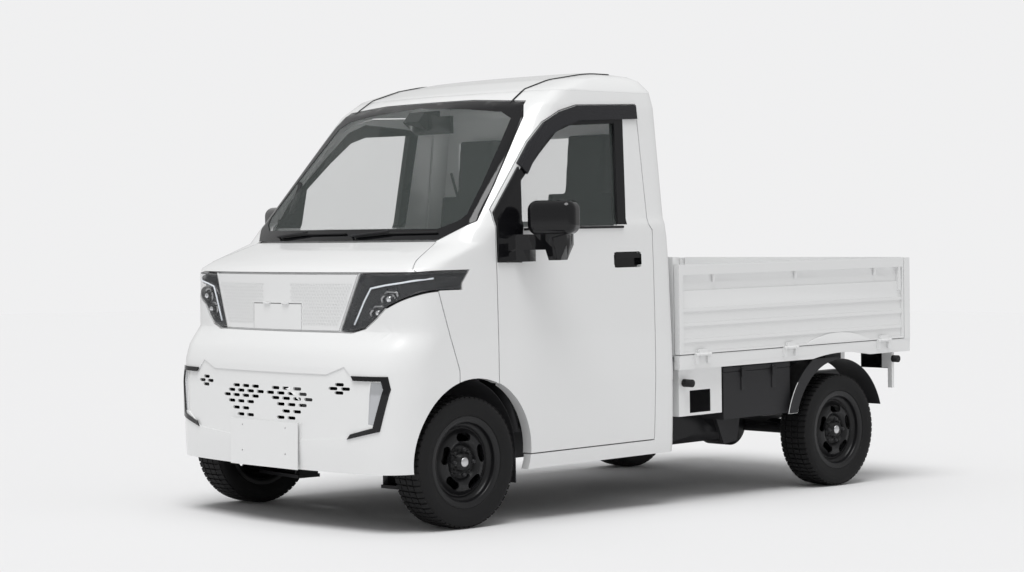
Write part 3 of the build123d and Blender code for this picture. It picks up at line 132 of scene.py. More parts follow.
def merged_copy(node):
    """A bmesh of a CAD node with its loose triangles joined."""
    bm = bmesh.new()
    bm.from_mesh(frame["nodes"][node].data)
    bmesh.ops.remove_doubles(bm, verts=bm.verts, dist=2e-5)
    return bm


def slice_grid(bm, step):
    """Cuts long faces along planes a step apart, so that shading and attributes have points to sit on."""
    for axis in range(3):
        values = [v.co[axis] for v in bm.verts]
        low, high = min(values), max(values)
        normal = Vector((0, 0, 0))
        normal[axis] = 1
        for k in range(1, int((high - low) / step) + 1):
            place = Vector((0, 0, 0))
            place[axis] = low + k * step
            bmesh.ops.bisect_plane(bm, geom=bm.verts[:] + bm.edges[:] + bm.faces[:], plane_co=place,
                                   plane_no=normal, dist=1e-6)
    bmesh.ops.triangulate(bm, faces=bm.faces[:])


def flowing_normals(mesh, reach=0.07, crease=38.0):
    """Corner normals averaged over the surface around them, so that a panel's flats flow together."""
    mesh.calc_loop_triangles()
    count = len(mesh.polygons)
    centres = np.zeros(count * 3)
    normals = np.zeros(count * 3)
    areas = np.zeros(count)
    mesh.polygons.foreach_get("center", centres)
    mesh.polygons.foreach_get("normal", normals)
    mesh.polygons.foreach_get("area", areas)
    centres, normals = centres.reshape(-1, 3), normals.reshape(-1, 3)
    tree = kdtree.KDTree(count)
    for i, c in enumerate(centres):
        tree.insert(c, i)
    tree.balance()
    corners = [[] for _ in mesh.vertices]
    for p in mesh.polygons:
        for loop in p.loop_indices:
            corners[mesh.loops[loop].vertex_index].append((loop, p.index))
    limit = math.cos(math.radians(crease))
    result = [(0.0, 0.0, 1.0)] * len(mesh.loops)
    for v in mesh.vertices:
        found = tree.find_range(v.co, reach)
        index = np.array([f[1] for f in found] + [p for _, p in corners[v.index]], dtype=int)
        far = np.array([f[2] for f in found] + [0.0] * len(corners[v.index]))
        weight = areas[index] * (1.02 - far / reach) ** 2 + 1e-12
        near = normals[index]
        for loop, p in corners[v.index]:
            own = normals[p]
            keep = near @ own > limit
            total = (near[keep] * weight[keep, None]).sum(0)
            length = np.linalg.norm(total)
            result[loop] = tuple(total / length) if length > 1e-9 else tuple(own)
    mesh.shade_smooth()
    mesh.normals_split_custom_set(result)


def add_bevel(obj, width, angle=35.0, segments=2):
    """Small rounded edges, made real at once."""
    bevel = obj.modifiers.new("edges", "BEVEL")
    bevel.width = width
    bevel.segments = segments
    bevel.limit_method = "ANGLE"
    bevel.angle_limit = math.radians(angle)
    bevel.harden_normals = True
    bevel.miter_outer = "MITER_ARC"
    make_real(obj)


def make_real(obj):
    """Replaces an object's mesh by what its modifiers give."""
    bpy.context.view_layer.update()
    graph = bpy.context.evaluated_depsgraph_get()
    shown = obj.evaluated_get(graph)
    mesh = bpy.data.meshes.new_from_object(shown, preserve_all_data_layers=True, depsgraph=graph)
    obj.modifiers.clear()
    obj.data = mesh


def stand_for(obj, node):
    """The piece takes a CAD node's place and rides on its body."""
    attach(obj, frame["nodes"][node]["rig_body"])
    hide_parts(node)
    return obj


def join(objects, name):
    """One object of several, with their material slots kept."""
    bm = bmesh.new()
    slots = []
    for obj in objects:
        start = len(bm.faces)
        bm.from_mesh(obj.data)
        bm.faces.ensure_lookup_table()
        local = []
        for material in obj.data.materials:
            if material not in slots:
                slots.append(material)
            local.append(slots.index(material))
        for face in bm.faces[start:]:
            face.material_index = local[face.material_index] if local else 0
    mesh = bpy.data.meshes.new(name)
    bm.to_mesh(mesh)
    bm.free()
    for material in slots:
        mesh.materials.append(material)
    for obj in objects:
        bpy.data.objects.remove(obj)
    return new_object(name, mesh)


def tube(name, points, radius, material, sides):
    """Round bar along points, with flat ends."""
    points = [Vector(p) for p in points]
    n = len(points)
    verts, faces = [], []
    side = None
    for i, p in enumerate(points):
        ahead = points[i + 1] if i + 1 < n else p
        behind = points[i - 1] if i > 0 else p
        along = (ahead - behind).normalized()
        if side is None:
            side = along.cross(Vector((0, 0, 1)))
            if side.length < 0.1:
                side = along.cross(Vector((1, 0, 0)))
        side = (side - along * side.dot(along)).normalized()
        up = along.cross(side)
        for k in range(sides):
            a = 2 * math.pi * k / sides
            verts.append(p + (side * math.cos(a) + up * math.sin(a)) * radius)
    for i in range(n - 1):
        for k in range(sides):
            a, b = i * sides + k, i * sides + (k + 1) % sides
            c, d = (i + 1) * sides + (k + 1) % sides, (i + 1) * sides + k
            faces.append((a, b, c, d))
    faces.append(tuple(reversed(range(sides))))
    faces.append(tuple(range((n - 1) * sides, n * sides)))
    obj = from_faces(name, verts, faces, material)
    recalc(obj)
    return obj


def recalc(obj):
    """Turns all faces outward."""
    bm = bmesh.new()
    bm.from_mesh(obj.data)
    bmesh.ops.recalc_face_normals(bm, faces=bm.faces)
    bm.to_mesh(obj.data)
    bm.free()


def lathe(name, profile, centre, material, steps, axis=0):
    """Surface of revolution: profile rows are (along, radius) in metres from the centre."""
    verts, faces = [], []
    rows = len(profile)
    for i in range(steps):
        a = 2 * math.pi * i / steps
        for along, radius in profile:
            p = [0.0, 0.0, 0.0]
            p[axis] = along
            p[(axis + 1) % 3] = radius * math.cos(a)
            p[(axis + 2) % 3] = radius * math.sin(a)
            verts.append(centre + Vector(p))
    for i in range(steps):
        n = (i + 1) % steps
        for j in range(rows - 1):
            faces.append((i * rows + j, n * rows + j, n * rows + j + 1, i * rows + j + 1))
    obj = from_faces(name, verts, faces, material)
    recalc(obj)
    return obj


def surface_tree(*nodes):
    """Rays can be cast on these nodes' shown surfaces."""
    bm = bmesh.new()
    for node in nodes:
        bm.from_mesh(frame["nodes"][node].data)
    tree = BVHTree.FromBMesh(bm)
    bm.free()
    return tree


# ------------------------------------------------------------------ materials
def socket(node, name, value):
    """Sets a constant on a node's own socket."""
    node.inputs[name].default_value = value


def finish_of(name, colour, rough, metal=0.0, coat=0.0, bump=None, alpha=1.0, glow=0.0, sheen=0.0,
              gloss=0.5):
    """A finish; bump is (kind, scale per metre, strength, height in metres)."""
    name = "look_" + name
    if name in bpy.data.materials:
        return bpy.data.materials[name]
    material = bpy.data.materials.new(name)
    material.use_nodes = True
    nodes, links = material.node_tree.nodes, material.node_tree.links
    shader = nodes["Principled BSDF"]
    socket(shader, "Base Color", (*colour, 1))
    socket(shader, "Roughness", rough)
    socket(shader, "Metallic", metal)
    socket(shader, "Specular IOR Level", gloss)
    socket(shader, "Coat Weight", coat)
    socket(shader, "Coat Roughness", 0.05)
    socket(shader, "Alpha", alpha)
    socket(shader, "Sheen Weight", sheen)
    if glow:
        socket(shader, "Emission Color", (*colour, 1))
        socket(shader, "Emission Strength", glow)
    if bump:
        kind, scale, strength, height = bump
        place = nodes.new("ShaderNodeTexCoord")
        relief = nodes.new("ShaderNodeBump")
        socket(relief, "Strength", strength)
        socket(relief, "Distance", height)
        links.new(relief.outputs["Normal"], shader.inputs["Normal"])
        if kind == "weave":
            total = nodes.new("ShaderNodeMath")
            total.operation = "MAXIMUM"
            for k, way in enumerate(("X", "Z")):
                wave = nodes.new("ShaderNodeTexWave")
                wave.bands_direction = way
                socket(wave, "Scale", scale)
                socket(wave, "Distortion", 0.4)
                links.new(place.outputs["Object"], wave.inputs["Vector"])
                links.new(wave.outputs["Fac"], total.inputs[k])
            links.new(total.outputs[0], relief.inputs["Height"])
        else:
            kinds = {"noise": "ShaderNodeTexNoise", "grain": "ShaderNodeTexVoronoi"}
            grain = nodes.new(kinds[kind])
            socket(grain, "Scale", scale)
            links.new(place.outputs["Object"], grain.inputs["Vector"])
            links.new(grain.outputs[0 if kind == "grain" else "Fac"], relief.inputs["Height"])
    return material


def paint():
    tone = tuple(bpy.context.scene.truck_looks.paint)
    return finish_of("white_gloss", tone, 0.28, coat=0.6, bump=("noise", 260, 0.02, 0.0006))


def plastic():
    grain = ("grain", 900, 0.25, 0.0004)
    return finish_of("grained_plastic", (0.028, 0.028, 0.03), 0.52, bump=grain, gloss=0.2)


def gloss_black():
    skin = ("noise", 200, 0.01, 0.0005)
    return finish_of("gloss_black", (0.006, 0.006, 0.007), 0.1, bump=skin, gloss=0.35)


def steel_black():
    skin = ("noise", 500, 0.12, 0.0004)
    return finish_of("satin_black_steel", (0.025, 0.025, 0.027), 0.42, bump=skin, gloss=0.25)


def wheel_black():
    return finish_of("wheel_black", (0.01, 0.01, 0.011), 0.33, bump=("noise", 600, 0.05, 0.0003), gloss=0.3)


def rubber():
    return finish_of("seal_rubber", (0.02, 0.02, 0.021), 0.62, bump=("noise", 900, 0.2, 0.0003), gloss=0.2)


def tyre_rubber():
    return finish_of("tyre_rubber", (0.012, 0.012, 0.0125), 0.7, bump=("noise", 700, 0.3, 0.0004), gloss=0.2)


def silver():
    return finish_of("bare_silver", (0.6, 0.6, 0.61), 0.32, metal=1.0, bump=("noise", 400, 0.08, 0.0003))


def chrome():
    return finish_of("chrome", (0.82, 0.83, 0.85), 0.07, metal=1.0, bump=("noise", 60, 0.01, 0.0002))


def glass():
    return finish_of("clear_glass", (0.2, 0.23, 0.22), 0.0, alpha=0.12)


def smoked():
    return finish_of("smoked_acrylic", (0.02, 0.02, 0.023), 0.05, alpha=0.95, gloss=0.35)


def lens():
    return finish_of("lamp_lens", (0.25, 0.26, 0.27), 0.02, alpha=0.1)


def fabric():
    return finish_of("seat_cloth", (0.05, 0.051, 0.055), 0.88, sheen=0.1, bump=("weave", 260, 0.5, 0.0008))


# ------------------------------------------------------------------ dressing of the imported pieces
FLOWING = ("cab_shell", "hood", "front_bumper", "grille_panel", "charge_flap", "roof_panel")
EDGED = ("gate_left", "gate_right", "tailgate", "headboard", "side_box", "bed_floor", "side_brackets",
         "rear_guards", "rear_plate_holder", "plate_carrier")


def finishes():
    """The record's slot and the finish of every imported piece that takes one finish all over."""
    white, steel, black = ("white_paint", paint), ("black_steel", steel_black), ("black_plastic", plastic)
    table = {name: white for name in FLOWING + ("gate_left", "gate_right", "tailgate", "headboard",
                                                "bed_floor", "side_brackets", "plate_carrier")}
    for name in ("ladder_frame", "front_suspension", "knuckle_left", "knuckle_right", "leaf_springs",
                 "rear_axle", "strut_tops", "battery_pack", "rear_plate_holder"):
        table[name] = steel
    for name in ("arch_liners", "cowl", "dashboard", "side_box", "steering_column",
                 "cab_floor", "steering_wheel"):
        table[name] = black
    for name in ("mirror_left", "mirror_right", "headlamp_housings", "mirror_pod"):
        table[name] = ("black_gloss", gloss_black)
    for name in ("door_glass_left", "door_glass_right", "rear_window"):
        table[name] = ("window_glass", glass)
    for name in ("visor_left", "visor_right"):
        table[name] = ("black_gloss", smoked)
    table["headlamp_lenses"] = ("lamp_lens", lens)
    table["gate_buffers"] = ("black_rubber", rubber)
    for name in WHEELS:
        table["rim_" + name] = ("wheel_black", wheel_black)
    return table


def dress(node, material):
    """A joined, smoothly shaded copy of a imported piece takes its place."""
    bm = merged_copy(node)
    if node in FLOWING:
        slice_grid(bm, 0.05)
    elif node in EDGED:
        bmesh.ops.dissolve_limit(bm, angle_limit=math.radians(0.5), verts=bm.verts, edges=bm.edges)
    obj = from_bmesh(node + "_shown", bm, material)
    for polygon in obj.data.polygons:
        polygon.material_index = 0
    if node in FLOWING:
        flowing_normals(obj.data)
    else:
        obj.data.shade_smooth()
        obj.data.set_sharp_from_angle(angle=math.radians(32))
    if node in EDGED:
        add_bevel(obj, 1.6 * MM)
    return stand_for(obj, node)


def outline_cut(bm, ring, axis):
    """Cuts a mesh along a polygon seen square on from the front or the side."""
    to_frame = (lambda a, b: level(a, 0, b)) if axis == "front" else (lambda a, b: level(0, a, b))
    for i, (a0, b0) in enumerate(ring):
        a1, b1 = ring[(i + 1) % len(ring)]
        across = (b0 - b1, a1 - a0)
        turn = (across[0], 0, across[1]) if axis == "front" else (0, across[0], across[1])
        bmesh.ops.bisect_plane(bm, geom=bm.verts[:] + bm.edges[:] + bm.faces[:], plane_co=to_frame(a0, b0),
                               plane_no=level_turn(turn).normalized(), dist=1e-6)


def in_ring(a, b, ring):
    """True if a flat point lies inside the polygon."""
    crossed = False
    for i, (a0, b0) in enumerate(ring):
        a1, b1 = ring[(i + 1) % len(ring)]
        if (b0 > b) != (b1 > b) and a < (a1 - a0) * (b - b0) / (b1 - b0) + a0:
            crossed = not crossed
    return crossed


# outlines in level mm: the windshield's clear half as (x, z), the door's frame and bowl as (y, z)
CLEAR_HALF = ((0, 1186), (545, 1184), (612, 1212), (634, 1240), (616, 1356), (585, 1500), (553, 1634),
              (486, 1664), (280, 1684), (0, 1700))
CLEAR_GLASS = CLEAR_HALF + tuple((-x, z) for x, z in reversed(CLEAR_HALF[1:-1]))
DOOR_FRAME = ((176, 1196), (940, 1190), (952, 1300), (986, 1640), (660, 1662), (560, 1622), (455, 1524),
              (330, 1404), (236, 1310))
HANDLE_BOWL = ((853, 1022), (866, 1009), (1010, 1009), (1023, 1022), (1023, 1062), (1010, 1075), (866, 1075),
               (853, 1062))


def dress_parted(node, rings, axis, outside, inside, cut=0.0):
    """A shown copy of a piece whose faces inside the given outlines take another finish."""
    bm = merged_copy(node)
    if cut:
        slice_grid(bm, cut)
    for ring in rings:
        outline_cut(bm, ring, axis)
    for face in bm.faces:
        x, y, z = unlevel(face.calc_center_median())
        here = x if axis == "front" else y
        face.material_index = int(any(in_ring(here, z, ring) for ring in rings))
    obj = from_bmesh(node + "_shown", bm, outside)
    obj.data.materials.append(inside)
    if cut:
        flowing_normals(obj.data)
    else:
        obj.data.shade_smooth()
        obj.data.set_sharp_from_angle(angle=math.radians(30))
    return stand_for(obj, node)


def dress_facing(node, material, other, chosen):
    """A shown copy whose faces that pass the test take the other finish."""
    obj = dress(node, material)
    obj.data.materials.append(other)
    for polygon in obj.data.polygons:
        if chosen(polygon):
            polygon.material_index = 1
    return obj


def dress_fog_lamps():
    """The black blades keep their gloss and the two lenses beside them turn bright."""
    bm = merged_copy("drl_blades")
    bm.faces.ensure_lookup_table()
    left = set(bm.faces)
    groups = []
    while left:
        stack = [left.pop()]
        group = []
        while stack:
            face = stack.pop()
            group.append(face)
            for edge in face.edges:
                for other in edge.link_faces:
                    if other in left:
                        left.discard(other)
                        stack.append(other)
        groups.append(group)

    def height(group):
        heights = [v.co.z for face in group for v in face.verts]
        return max(heights) - min(heights)

    for group in sorted(groups, key=height)[:2]:
        for face in group:
            face.material_index = 1
    for face in (f for group in sorted(groups, key=height)[2:] for f in group):
        face.material_index = 0
    obj = from_bmesh("drl_blades_shown", bm, gloss_black())
    obj.data.materials.append(finish_of("fog_lens", (0.5, 0.51, 0.53), 0.12, metal=0.6, coat=0.6))
    obj.data.shade_smooth()
    obj.data.set_sharp_from_angle(angle=math.radians(35))
    stand_for(obj, "drl_blades")


# ------------------------------------------------------------------ repeats
def ring_tree(name):
    """Node tree: copies of a mesh stand evenly on a circle about the x axis."""
    tree = bpy.data.node_groups.new(name, "GeometryNodeTree")
    face = tree.interface
    face.new_socket("Geometry", in_out="INPUT", socket_type="NodeSocketGeometry")
    for label, kind in (("Piece", "Object"), ("Count", "Int"), ("Radius", "Float"), ("Centre", "Vector"),
                        ("Material", "Material")):
        face.new_socket(label, in_out="INPUT", socket_type="NodeSocket" + kind)
    face.new_socket("Geometry", in_out="OUTPUT", socket_type="NodeSocketGeometry")
    add, link = tree.nodes.new, tree.links.new
    given, out = add("NodeGroupInput"), add("NodeGroupOutput")
    circle = add("GeometryNodeMeshCircle")
    link(given.outputs["Count"], circle.inputs["Vertices"])
    link(given.outputs["Radius"], circle.inputs["Radius"])
    stand = add("GeometryNodeTransform")
    socket(stand, "Rotation", (0, math.pi / 2, 0))
    link(circle.outputs["Mesh"], stand.inputs["Geometry"])
    turn = add("FunctionNodeAlignRotationToVector")
    turn.axis = "Z"
    turn.pivot_axis = "X"
    link(add("GeometryNodeInputPosition").outputs[0], turn.inputs["Vector"])
    piece = add("GeometryNodeObjectInfo")
    link(given.outputs["Piece"], piece.inputs["Object"])
    copies = add("GeometryNodeInstanceOnPoints")
    link(stand.outputs["Geometry"], copies.inputs["Points"])
    link(piece.outputs["Geometry"], copies.inputs["Instance"])
    link(turn.outputs["Rotation"], copies.inputs["Rotation"])
    real = add("GeometryNodeRealizeInstances")
    link(copies.outputs["Instances"], real.inputs["Geometry"])
    move = add("GeometryNodeTransform")
    link(real.outputs["Geometry"], move.inputs["Geometry"])
    link(given.outputs["Centre"], move.inputs["Translation"])
    coat = add("GeometryNodeSetMaterial")
    link(move.outputs["Geometry"], coat.inputs["Geometry"])
    link(given.outputs["Material"], coat.inputs["Material"])
    link(coat.outputs["Geometry"], out.inputs["Geometry"])
    return tree


def ring_of(name, piece, count, radius, centre, material):
    """Copies of a piece on a circle, made real; the piece itself is removed."""
    tree = bpy.data.node_groups.get("ring") or ring_tree("ring")
    obj = new_object(name, bpy.data.meshes.new(name))
    modifier = obj.modifiers.new("ring", "NODES")
    modifier.node_group = tree
    values = {"Piece": piece, "Count": count, "Radius": radius, "Centre": tuple(centre),
              "Material": material}
    for item in tree.interface.items_tree:
        if item.in_out == "INPUT" and item.name in values:
            modifier[item.identifier] = values[item.name]
    make_real(obj)
    bpy.data.objects.remove(piece)
    return obj


# ------------------------------------------------------------------ wheels
TREAD_ROWS = 62
NUTS = 4
NUT_CIRCLE = 0.05


def wheel_facts(name):
    """Centre, tyre radius, half the tyre's width and rim radius, in metres."""
    low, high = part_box("tyre_" + name)
    rim_low, rim_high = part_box("rim_" + name)
    centre = (low + high) / 2
    return centre, (high.z - low.z) / 2, (high.x - low.x) / 2, (rim_high.z - rim_low.z) / 2


def build_tyre(name):
    """A treaded tyre: a turned carcass with rings of blocks on it."""
    centre, radius, half, rim = wheel_facts(name)
    bead = rim - 0.003
    side = ((0.74, bead), (0.88, bead + 0.006), (0.97, bead + 0.03), (1.0, (bead + radius) / 2),
            (0.985, radius - 0.034), (0.99, radius - 0.031), (0.95, radius - 0.018), (0.85, radius - 0.0095),
            (0.6, radius - 0.0078), (0.2, radius - 0.0072))
    rows = [(-a * half, r) for a, r in side] + [(a * half, r) for a, r in reversed(side)]
    carcass = lathe("tyre_carcass", rows, centre, tyre_rubber(), steps=96)
    blocks = []
    reach = 2 * math.pi * radius / TREAD_ROWS
    for x0, x1, skew in ((-0.86, -0.5, 0.3), (-0.44, -0.06, -0.25), (0.0, 0.38, -0.25), (0.44, 0.86, 0.3)):
        verts = []
        for x in (x0, x1):
            drop = 0.004 if abs(x) > 0.8 else 0.0012 * abs(x)
            for y in (-0.36 * reach, 0.36 * reach):
                shift = y + skew * reach * (x - (x0 + x1) / 2)
                verts += [(x * half, shift, -0.010), (x * half, shift, -0.0006 - drop)]
        faces = [(0, 1, 3, 2), (4, 6, 7, 5), (0, 4, 5, 1), (2, 3, 7, 6), (1, 5, 7, 3)]
        blocks.append(from_faces("tread_block", verts, faces, tyre_rubber(), smooth=False))
        recalc(blocks[-1])
    tread = ring_of("tread", join(blocks, "tread_blocks"), TREAD_ROWS, radius, centre, tyre_rubber())
    tyre = join([carcass, tread], "tyre_" + name + "_shown")
    tyre.data.set_sharp_from_angle(angle=math.radians(35))
    stand_for(tyre, "tyre_" + name)


def build_hub(name):
    """Plain silver cap, four nuts and the bright drum seen through the wheel's openings."""
    centre, _, _, _ = wheel_facts(name)
    out = 1 if centre.x > 0 else -1
    tree = surface_tree("rim_" + name)
    start = Vector((out * 2.0, centre.y, centre.z))
    hit, _, _, _ = tree.ray_cast(start, Vector((-out, 0, 0)))
    face = hit.x if hit else centre.x + out * 0.03
    profile = ((out * 0.003, 0.0005), (out * 0.003, 0.015), (0, 0.0195), (-out * 0.004, 0.02))
    cap = lathe("wheel_cap_" + name, profile, Vector((face, centre.y, centre.z)), silver(), 40)
    body = frame["nodes"]["rim_" + name]["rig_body"]
    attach(cap, body)
    nut = lathe("nut", [(out * 0.012, 0.0005), (out * 0.012, 0.0075), (0, 0.0098), (-out * 0.002, 0.0098)],
                Vector((0, 0, 0)), steel_black(), 6)
    ray, _, _, _ = tree.ray_cast(start + Vector((0, 0.035, 0.035)), Vector((-out, 0, 0)))
    ring_x = ray.x if ray else face
    middle = Vector((ring_x, centre.y, centre.z))
    nuts = ring_of("wheel_nuts_" + name, nut, NUTS, NUT_CIRCLE, middle, steel_black())
    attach(nuts, body)
    drum = lathe("brake_drum_" + name, [(0.0, 0.03), (0.0, 0.098), (-out * 0.03, 0.1)],
                 Vector((centre.x - out * 0.012, centre.y, centre.z)), silver(), 64)
    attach(drum, body)


# ------------------------------------------------------------------ lamps and front
# rows of (along, radius) in metres
PROJECTOR = ((-0.009, 0.0004), (-0.007, 0.008), (-0.002, 0.0125), (0, 0.0145))


def build_lamps():
    """Bright frames, projector bowls and the thin white guide inside both headlamps."""
    guide = ((431, 812), (452, 850), (480, 905), (511, 955), (578, 967), (645, 976), (690, 985), (720, 992))
    frames = (((628, 893), (618, 938), (574, 942), (548, 914), (560, 886)),
              ((576, 836), (566, 882), (520, 884), (496, 858), (508, 834)))
    bowls = ((590, 913), (541, 858))
    tree = surface_tree("headlamp_housings")
    back = level_turn((0, 1, 0))
    white = finish_of("light_guide", (0.86, 0.9, 0.95), 0.3, glow=0.25)
    made = []
    for side in (1, -1):
        made.append(on_skin("guide", [(side * x, z) for x, z in guide], tree, 3.5, white))
        for ring in frames:
            made.append(on_skin("bright_frame", [(side * x, z) for x, z in ring], tree, 5.5, silver()))
        for x, z in bowls:
            hit, _, _, _ = tree.ray_cast(level(side * x, 0, z) - back * 3, back)
            if hit:
                made.append(lathe("projector", PROJECTOR, hit, chrome(), 32, axis=1))
    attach(join(made, "lamp_optics"), frame["nodes"]["headlamp_housings"]["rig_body"])


def on_skin(name, points, tree, radius, material, lift=0.5, axis="front", side=1):
    """Round bar laid on the skin along points given as seen from the front or the side."""
    ray = level_turn({"front": (0, 1, 0), "side": (-side, 0, 0), "top": (0, 0, -1)}[axis])
    place = {"front": lambda a, b: level(a, 0, b), "side": lambda a, b: level(0, a, b),
             "top": lambda a, b: level(a, b, 0)}[axis]
    path = []
    for i in range(len(points) - 1):
        (a0, b0), (a1, b1) = points[i], points[i + 1]
        steps = max(1, int(math.hypot(a1 - a0, b1 - b0) / 22))
        for k in range(steps + (i == len(points) - 2)):
            a, b = a0 + (a1 - a0) * k / steps, b0 + (b1 - b0) * k / steps
            start = place(a, b) - ray * 3
            hit, normal, _, _ = tree.ray_cast(start, ray)
            if hit is not None:
                if normal.dot(ray) > 0:
                    normal = -normal
                path.append(hit + normal * lift * radius * MM)
    return tube(name, path, radius * MM, material, 8)


def build_wipers():
    """Two wipers, each an arm and a blade that lie on the glass."""
    tree = surface_tree("windshield", "cowl")
    made = []
    for pivot, tip, low in ((-430, 80, 1150), (90, 560, 1150)):
        middle = (pivot + tip) / 2
        arm = ((pivot, 1138), (pivot + 40, 1150), (middle, low + 18))
        blade = ((pivot + 60, low + 2), (middle, low + 14), (tip, low + 16))
        made.append(on_skin("arm", arm, tree, 4.5, plastic(), lift=3.2))
        made.append(on_skin("blade", blade, tree, 4.2, rubber(), lift=1.2))
    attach(join(made, "wipers"), frame["nodes"]["windshield"]["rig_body"])


def build_dashes():
    """Rows of small raised dashes on both halves of the grille panel."""
    tree = surface_tree("grille_panel")
    ray = level_turn((0, 1, 0))
    verts, faces = [], []
    for row in range(13):
        for col in range(26):
            x = 92 + col * 15 + (row % 2) * 7.5
            z = 812 + row * 13
            for side in (1, -1):
                hit, normal, _, _ = tree.ray_cast(level(side * x, 0, z) - ray * 3, ray)
                edge, _, _, _ = tree.ray_cast(level(side * (x + 9), 0, z) - ray * 3, ray)
                if hit is None or edge is None or abs(edge.y - hit.y) > 0.006:
                    continue
                normal = normal if normal.dot(ray) < 0 else -normal
                base = len(verts)
                for dx, dz, out in ((-6, 0, 0.2), (-3, 4, 1.0), (3, 4, 2.6), (6, 0, 2.6), (3, -4, 1.0),
                                    (-3, -4, 0.2)):
                    verts.append(hit + Vector((dx, 0, dz)) * MM + normal * (out + 0.1) * MM)
                faces.append(tuple(base + k for k in (5, 4, 3, 2, 1, 0)))
    if verts:
        obj = from_faces("grille_dashes", verts, faces, paint())
        for polygon in obj.data.polygons:
            if polygon.normal.dot(ray) > 0:
                polygon.flip()
        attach(obj, frame["nodes"]["grille_panel"]["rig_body"])


# ------------------------------------------------------------------ cab fittings
BELT_LINE = ((330, 1176), (500, 1182), (700, 1180), (915, 1180))                        # (y, z)
GUTTER = ((497, 484), (486, 585), (481, 709), (500, 802), (512, 900), (516, 1060))      # (x, y)


def build_seals():
    """Belt seals and the black roof gutters."""
    for name, side in (("left", 1), ("right", -1)):
        tree = surface_tree("door_" + name)
        seal = on_skin("door_seal_" + name, BELT_LINE, tree, 5.0, rubber(), lift=0.4, axis="side", side=side)
        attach(seal, frame["nodes"]["door_" + name]["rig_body"])
        roof = surface_tree("cab_shell", "roof_panel")
        line = [(side * x, y) for x, y in GUTTER]
        gutter = on_skin("roof_gutter_" + name, line, roof, 6.5, rubber(), lift=-0.35, axis="top")
        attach(gutter, frame["nodes"]["cab_shell"]["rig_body"])


def build_interior():
    """Two belts and the grab handle, seen through the glass."""
    made = []
    for name, side in (("belt_fitting", 1), ("belt.001_fitting", -1)):
        belt = [level(side * 560, 1120, 1440), level(side * 470, 1085, 1300), level(side * 250, 1060, 900)]
        made.append(tube(name, belt, 0.007, fabric(), 6))
    handle = [level(-560, 215, 1390), level(-545, 200, 1370),
              level(-556, 170, 1290), level(-572, 172, 1262)]
    made.append(tube("grab_handle_fitting", handle, 0.011, plastic(), 10))
    for obj in made:
        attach(obj, frame["nodes"]["cab_shell"]["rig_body"])


def soften(node):
    """A seat with rounded cushions."""
    bm = merged_copy(node)
    obj = from_bmesh(node + "_shown", bm, fabric())
    remesh = obj.modifiers.new("even", "REMESH")
    remesh.mode = "VOXEL"
    remesh.voxel_size = 0.007
    make_real(obj)
    smooth = obj.modifiers.new("smooth", "SMOOTH")
    smooth.factor = 0.5
    smooth.iterations = 8
    make_real(obj)
    obj.data.shade_smooth()
    stand_for(obj, node)


# ------------------------------------------------------------------ stage
CAMERA_PLACE = (7.040, -7.124, 1.0655)
AZIMUTH = 45.896
ELEVATION = 0.718
LENS = 77.14
SENSOR = 36


def build_stage():
    """Pale floor, even studio light, one soft lamp and the camera."""
    scene = bpy.context.scene
    scene.view_settings.view_transform = "Standard"
    bpy.ops.mesh.primitive_plane_add(size=60, location=(0, 0, 0))
    floor = bpy.context.object
    floor.name = "studio_floor"
    floor.data.materials.append(finish_of("studio_white", (0.745, 0.745, 0.75), 0.9))
    world = bpy.data.worlds.new("studio")
    scene.world = world
    world.use_nodes = True
    nodes, links = world.node_tree.nodes, world.node_tree.links
    nodes.clear()
    out = nodes.new("ShaderNodeOutputWorld")
    mix = nodes.new("ShaderNodeMixShader")
    path = nodes.new("ShaderNodeLightPath")
    for slot, (tone, strength) in enumerate((((1, 1, 1), 0.52), ((0.87, 0.87, 0.875), 1.0))):
        air = nodes.new("ShaderNodeBackground")
        socket(air, "Color", (*tone, 1))
        socket(air, "Strength", strength)
        links.new(air.outputs[0], mix.inputs[slot + 1])
    links.new(path.outputs["Is Camera Ray"], mix.inputs[0])
    links.new(mix.outputs[0], out.inputs["Surface"])
    lamp = bpy.data.lights.new("soft_sun", "SUN")
    lamp.energy = bpy.context.scene.truck_looks.lamp
    lamp.angle = math.radians(35)
    sun = bpy.data.objects.new("soft_sun", lamp)
    sun.rotation_euler = Vector((0.25, -0.45, 1.5)).to_track_quat("Z", "Y").to_euler()
    scene.collection.objects.link(sun)
    data = bpy.data.cameras.new("camera")
    data.lens = LENS
    data.sensor_width = SENSOR
    camera = bpy.data.objects.new("camera", data)
    azimuth, elevation = math.radians(AZIMUTH), math.radians(ELEVATION)
    back = Vector((math.sin(azimuth) * math.cos(elevation), -math.cos(azimuth) * math.cos(elevation),
                   math.sin(elevation)))
    camera.location = CAMERA_PLACE
    camera.rotation_euler = (-back).to_track_quat("-Z", "Y").to_euler()
    scene.collection.objects.link(camera)
    scene.camera = camera


# ------------------------------------------------------------------ add-on
class TruckLooks(bpy.types.PropertyGroup):
    paint: bpy.props.FloatVectorProperty(name="Paint", description="Colour of the body's gloss paint",
                                         subtype="COLOR", size=3, min=0, max=1, default=(0.81, 0.815, 0.815))
    lamp: bpy.props.FloatProperty(name="Lamp", description="Strength of the soft sun", default=2.2, min=0)


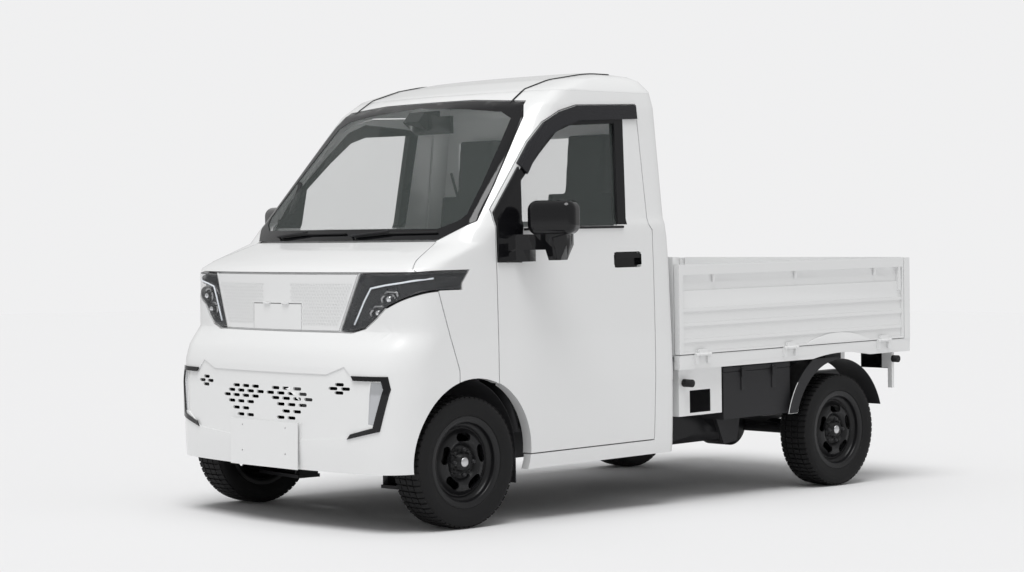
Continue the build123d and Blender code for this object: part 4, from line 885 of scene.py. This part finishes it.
class TRUCK_OT_panels(bpy.types.Operator):
    """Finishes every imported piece"""
    bl_idname = "truck.panels"
    bl_label = "Packed pieces"

    def execute(self, context):
        for node, (slot_name, make) in finishes().items():
            dress(node, make())
        dress_parted("windshield", (CLEAR_GLASS,), "front", gloss_black(), glass())
        for node in ("door_left", "door_right"):
            rings = (DOOR_FRAME, HANDLE_BOWL)
            dress_parted(node, rings, "side", paint(), gloss_black(), 0.05)
        front = unlevel(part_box("rear_guards")[0])[1]
        dress_facing("rear_guards", plastic(), paint(),
                     lambda p: unlevel(p.center)[1] < front + 70)
        red = finish_of("red_lens", (0.35, 0.01, 0.01), 0.08, coat=0.6)
        dress_facing("tail_lamps", gloss_black(), red, lambda p: p.normal.y > 0.6)
        dress_fog_lamps()
        return {"FINISHED"}


class TRUCK_OT_wheels(bpy.types.Operator):
    """Builds the treaded tyres, hub caps, nuts and drums"""
    bl_idname = "truck.wheels"
    bl_label = "Wheels"

    def execute(self, context):
        for name in WHEELS:
            build_tyre(name)
            build_hub(name)
        return {"FINISHED"}


class TRUCK_OT_front(bpy.types.Operator):
    """Builds the lamp optics, wipers and the grille's raised dashes"""
    bl_idname = "truck.front"
    bl_label = "Lamps, wipers and grille"

    def execute(self, context):
        build_lamps()
        build_wipers()
        build_dashes()
        return {"FINISHED"}


class TRUCK_OT_cab(bpy.types.Operator):
    """Builds the seats, belts, seals, grips and gutters"""
    bl_idname = "truck.cab"
    bl_label = "Cab fittings"

    def execute(self, context):
        soften("seat_driver")
        soften("seat_passenger")
        build_interior()
        build_seals()
        return {"FINISHED"}


class TRUCK_OT_stage(bpy.types.Operator):
    """Builds the pale studio, its lamp and the camera"""
    bl_idname = "truck.stage"
    bl_label = "Studio"

    def execute(self, context):
        build_stage()
        return {"FINISHED"}


OPERATORS = (TRUCK_OT_panels, TRUCK_OT_wheels, TRUCK_OT_front, TRUCK_OT_cab, TRUCK_OT_stage)


class TRUCK_PT_panel(bpy.types.Panel):
    """Lists the truck's groups of pieces"""
    bl_idname = "TRUCK_PT_panel"
    bl_label = "Truck"
    bl_space_type = "VIEW_3D"
    bl_region_type = "UI"
    bl_category = "Truck"

    def draw(self, context):
        looks = context.scene.truck_looks
        self.layout.prop(looks, "paint")
        self.layout.prop(looks, "lamp")
        for operator in OPERATORS:
            self.layout.operator(operator.bl_idname)


CLASSES = (TruckLooks,) + OPERATORS + (TRUCK_PT_panel,)


def register():
    for one in CLASSES:
        bpy.utils.register_class(one)
    bpy.types.Scene.truck_looks = bpy.props.PointerProperty(type=TruckLooks)


def unregister():
    del bpy.types.Scene.truck_looks
    for one in reversed(CLASSES):
        bpy.utils.unregister_class(one)


def main():
    """Builds everything in order."""
    register()
    bpy.ops.truck.panels()
    bpy.ops.truck.wheels()
    bpy.ops.truck.front()
    bpy.ops.truck.cab()
    bpy.ops.truck.stage()


if __name__ == "__main__":
    main()
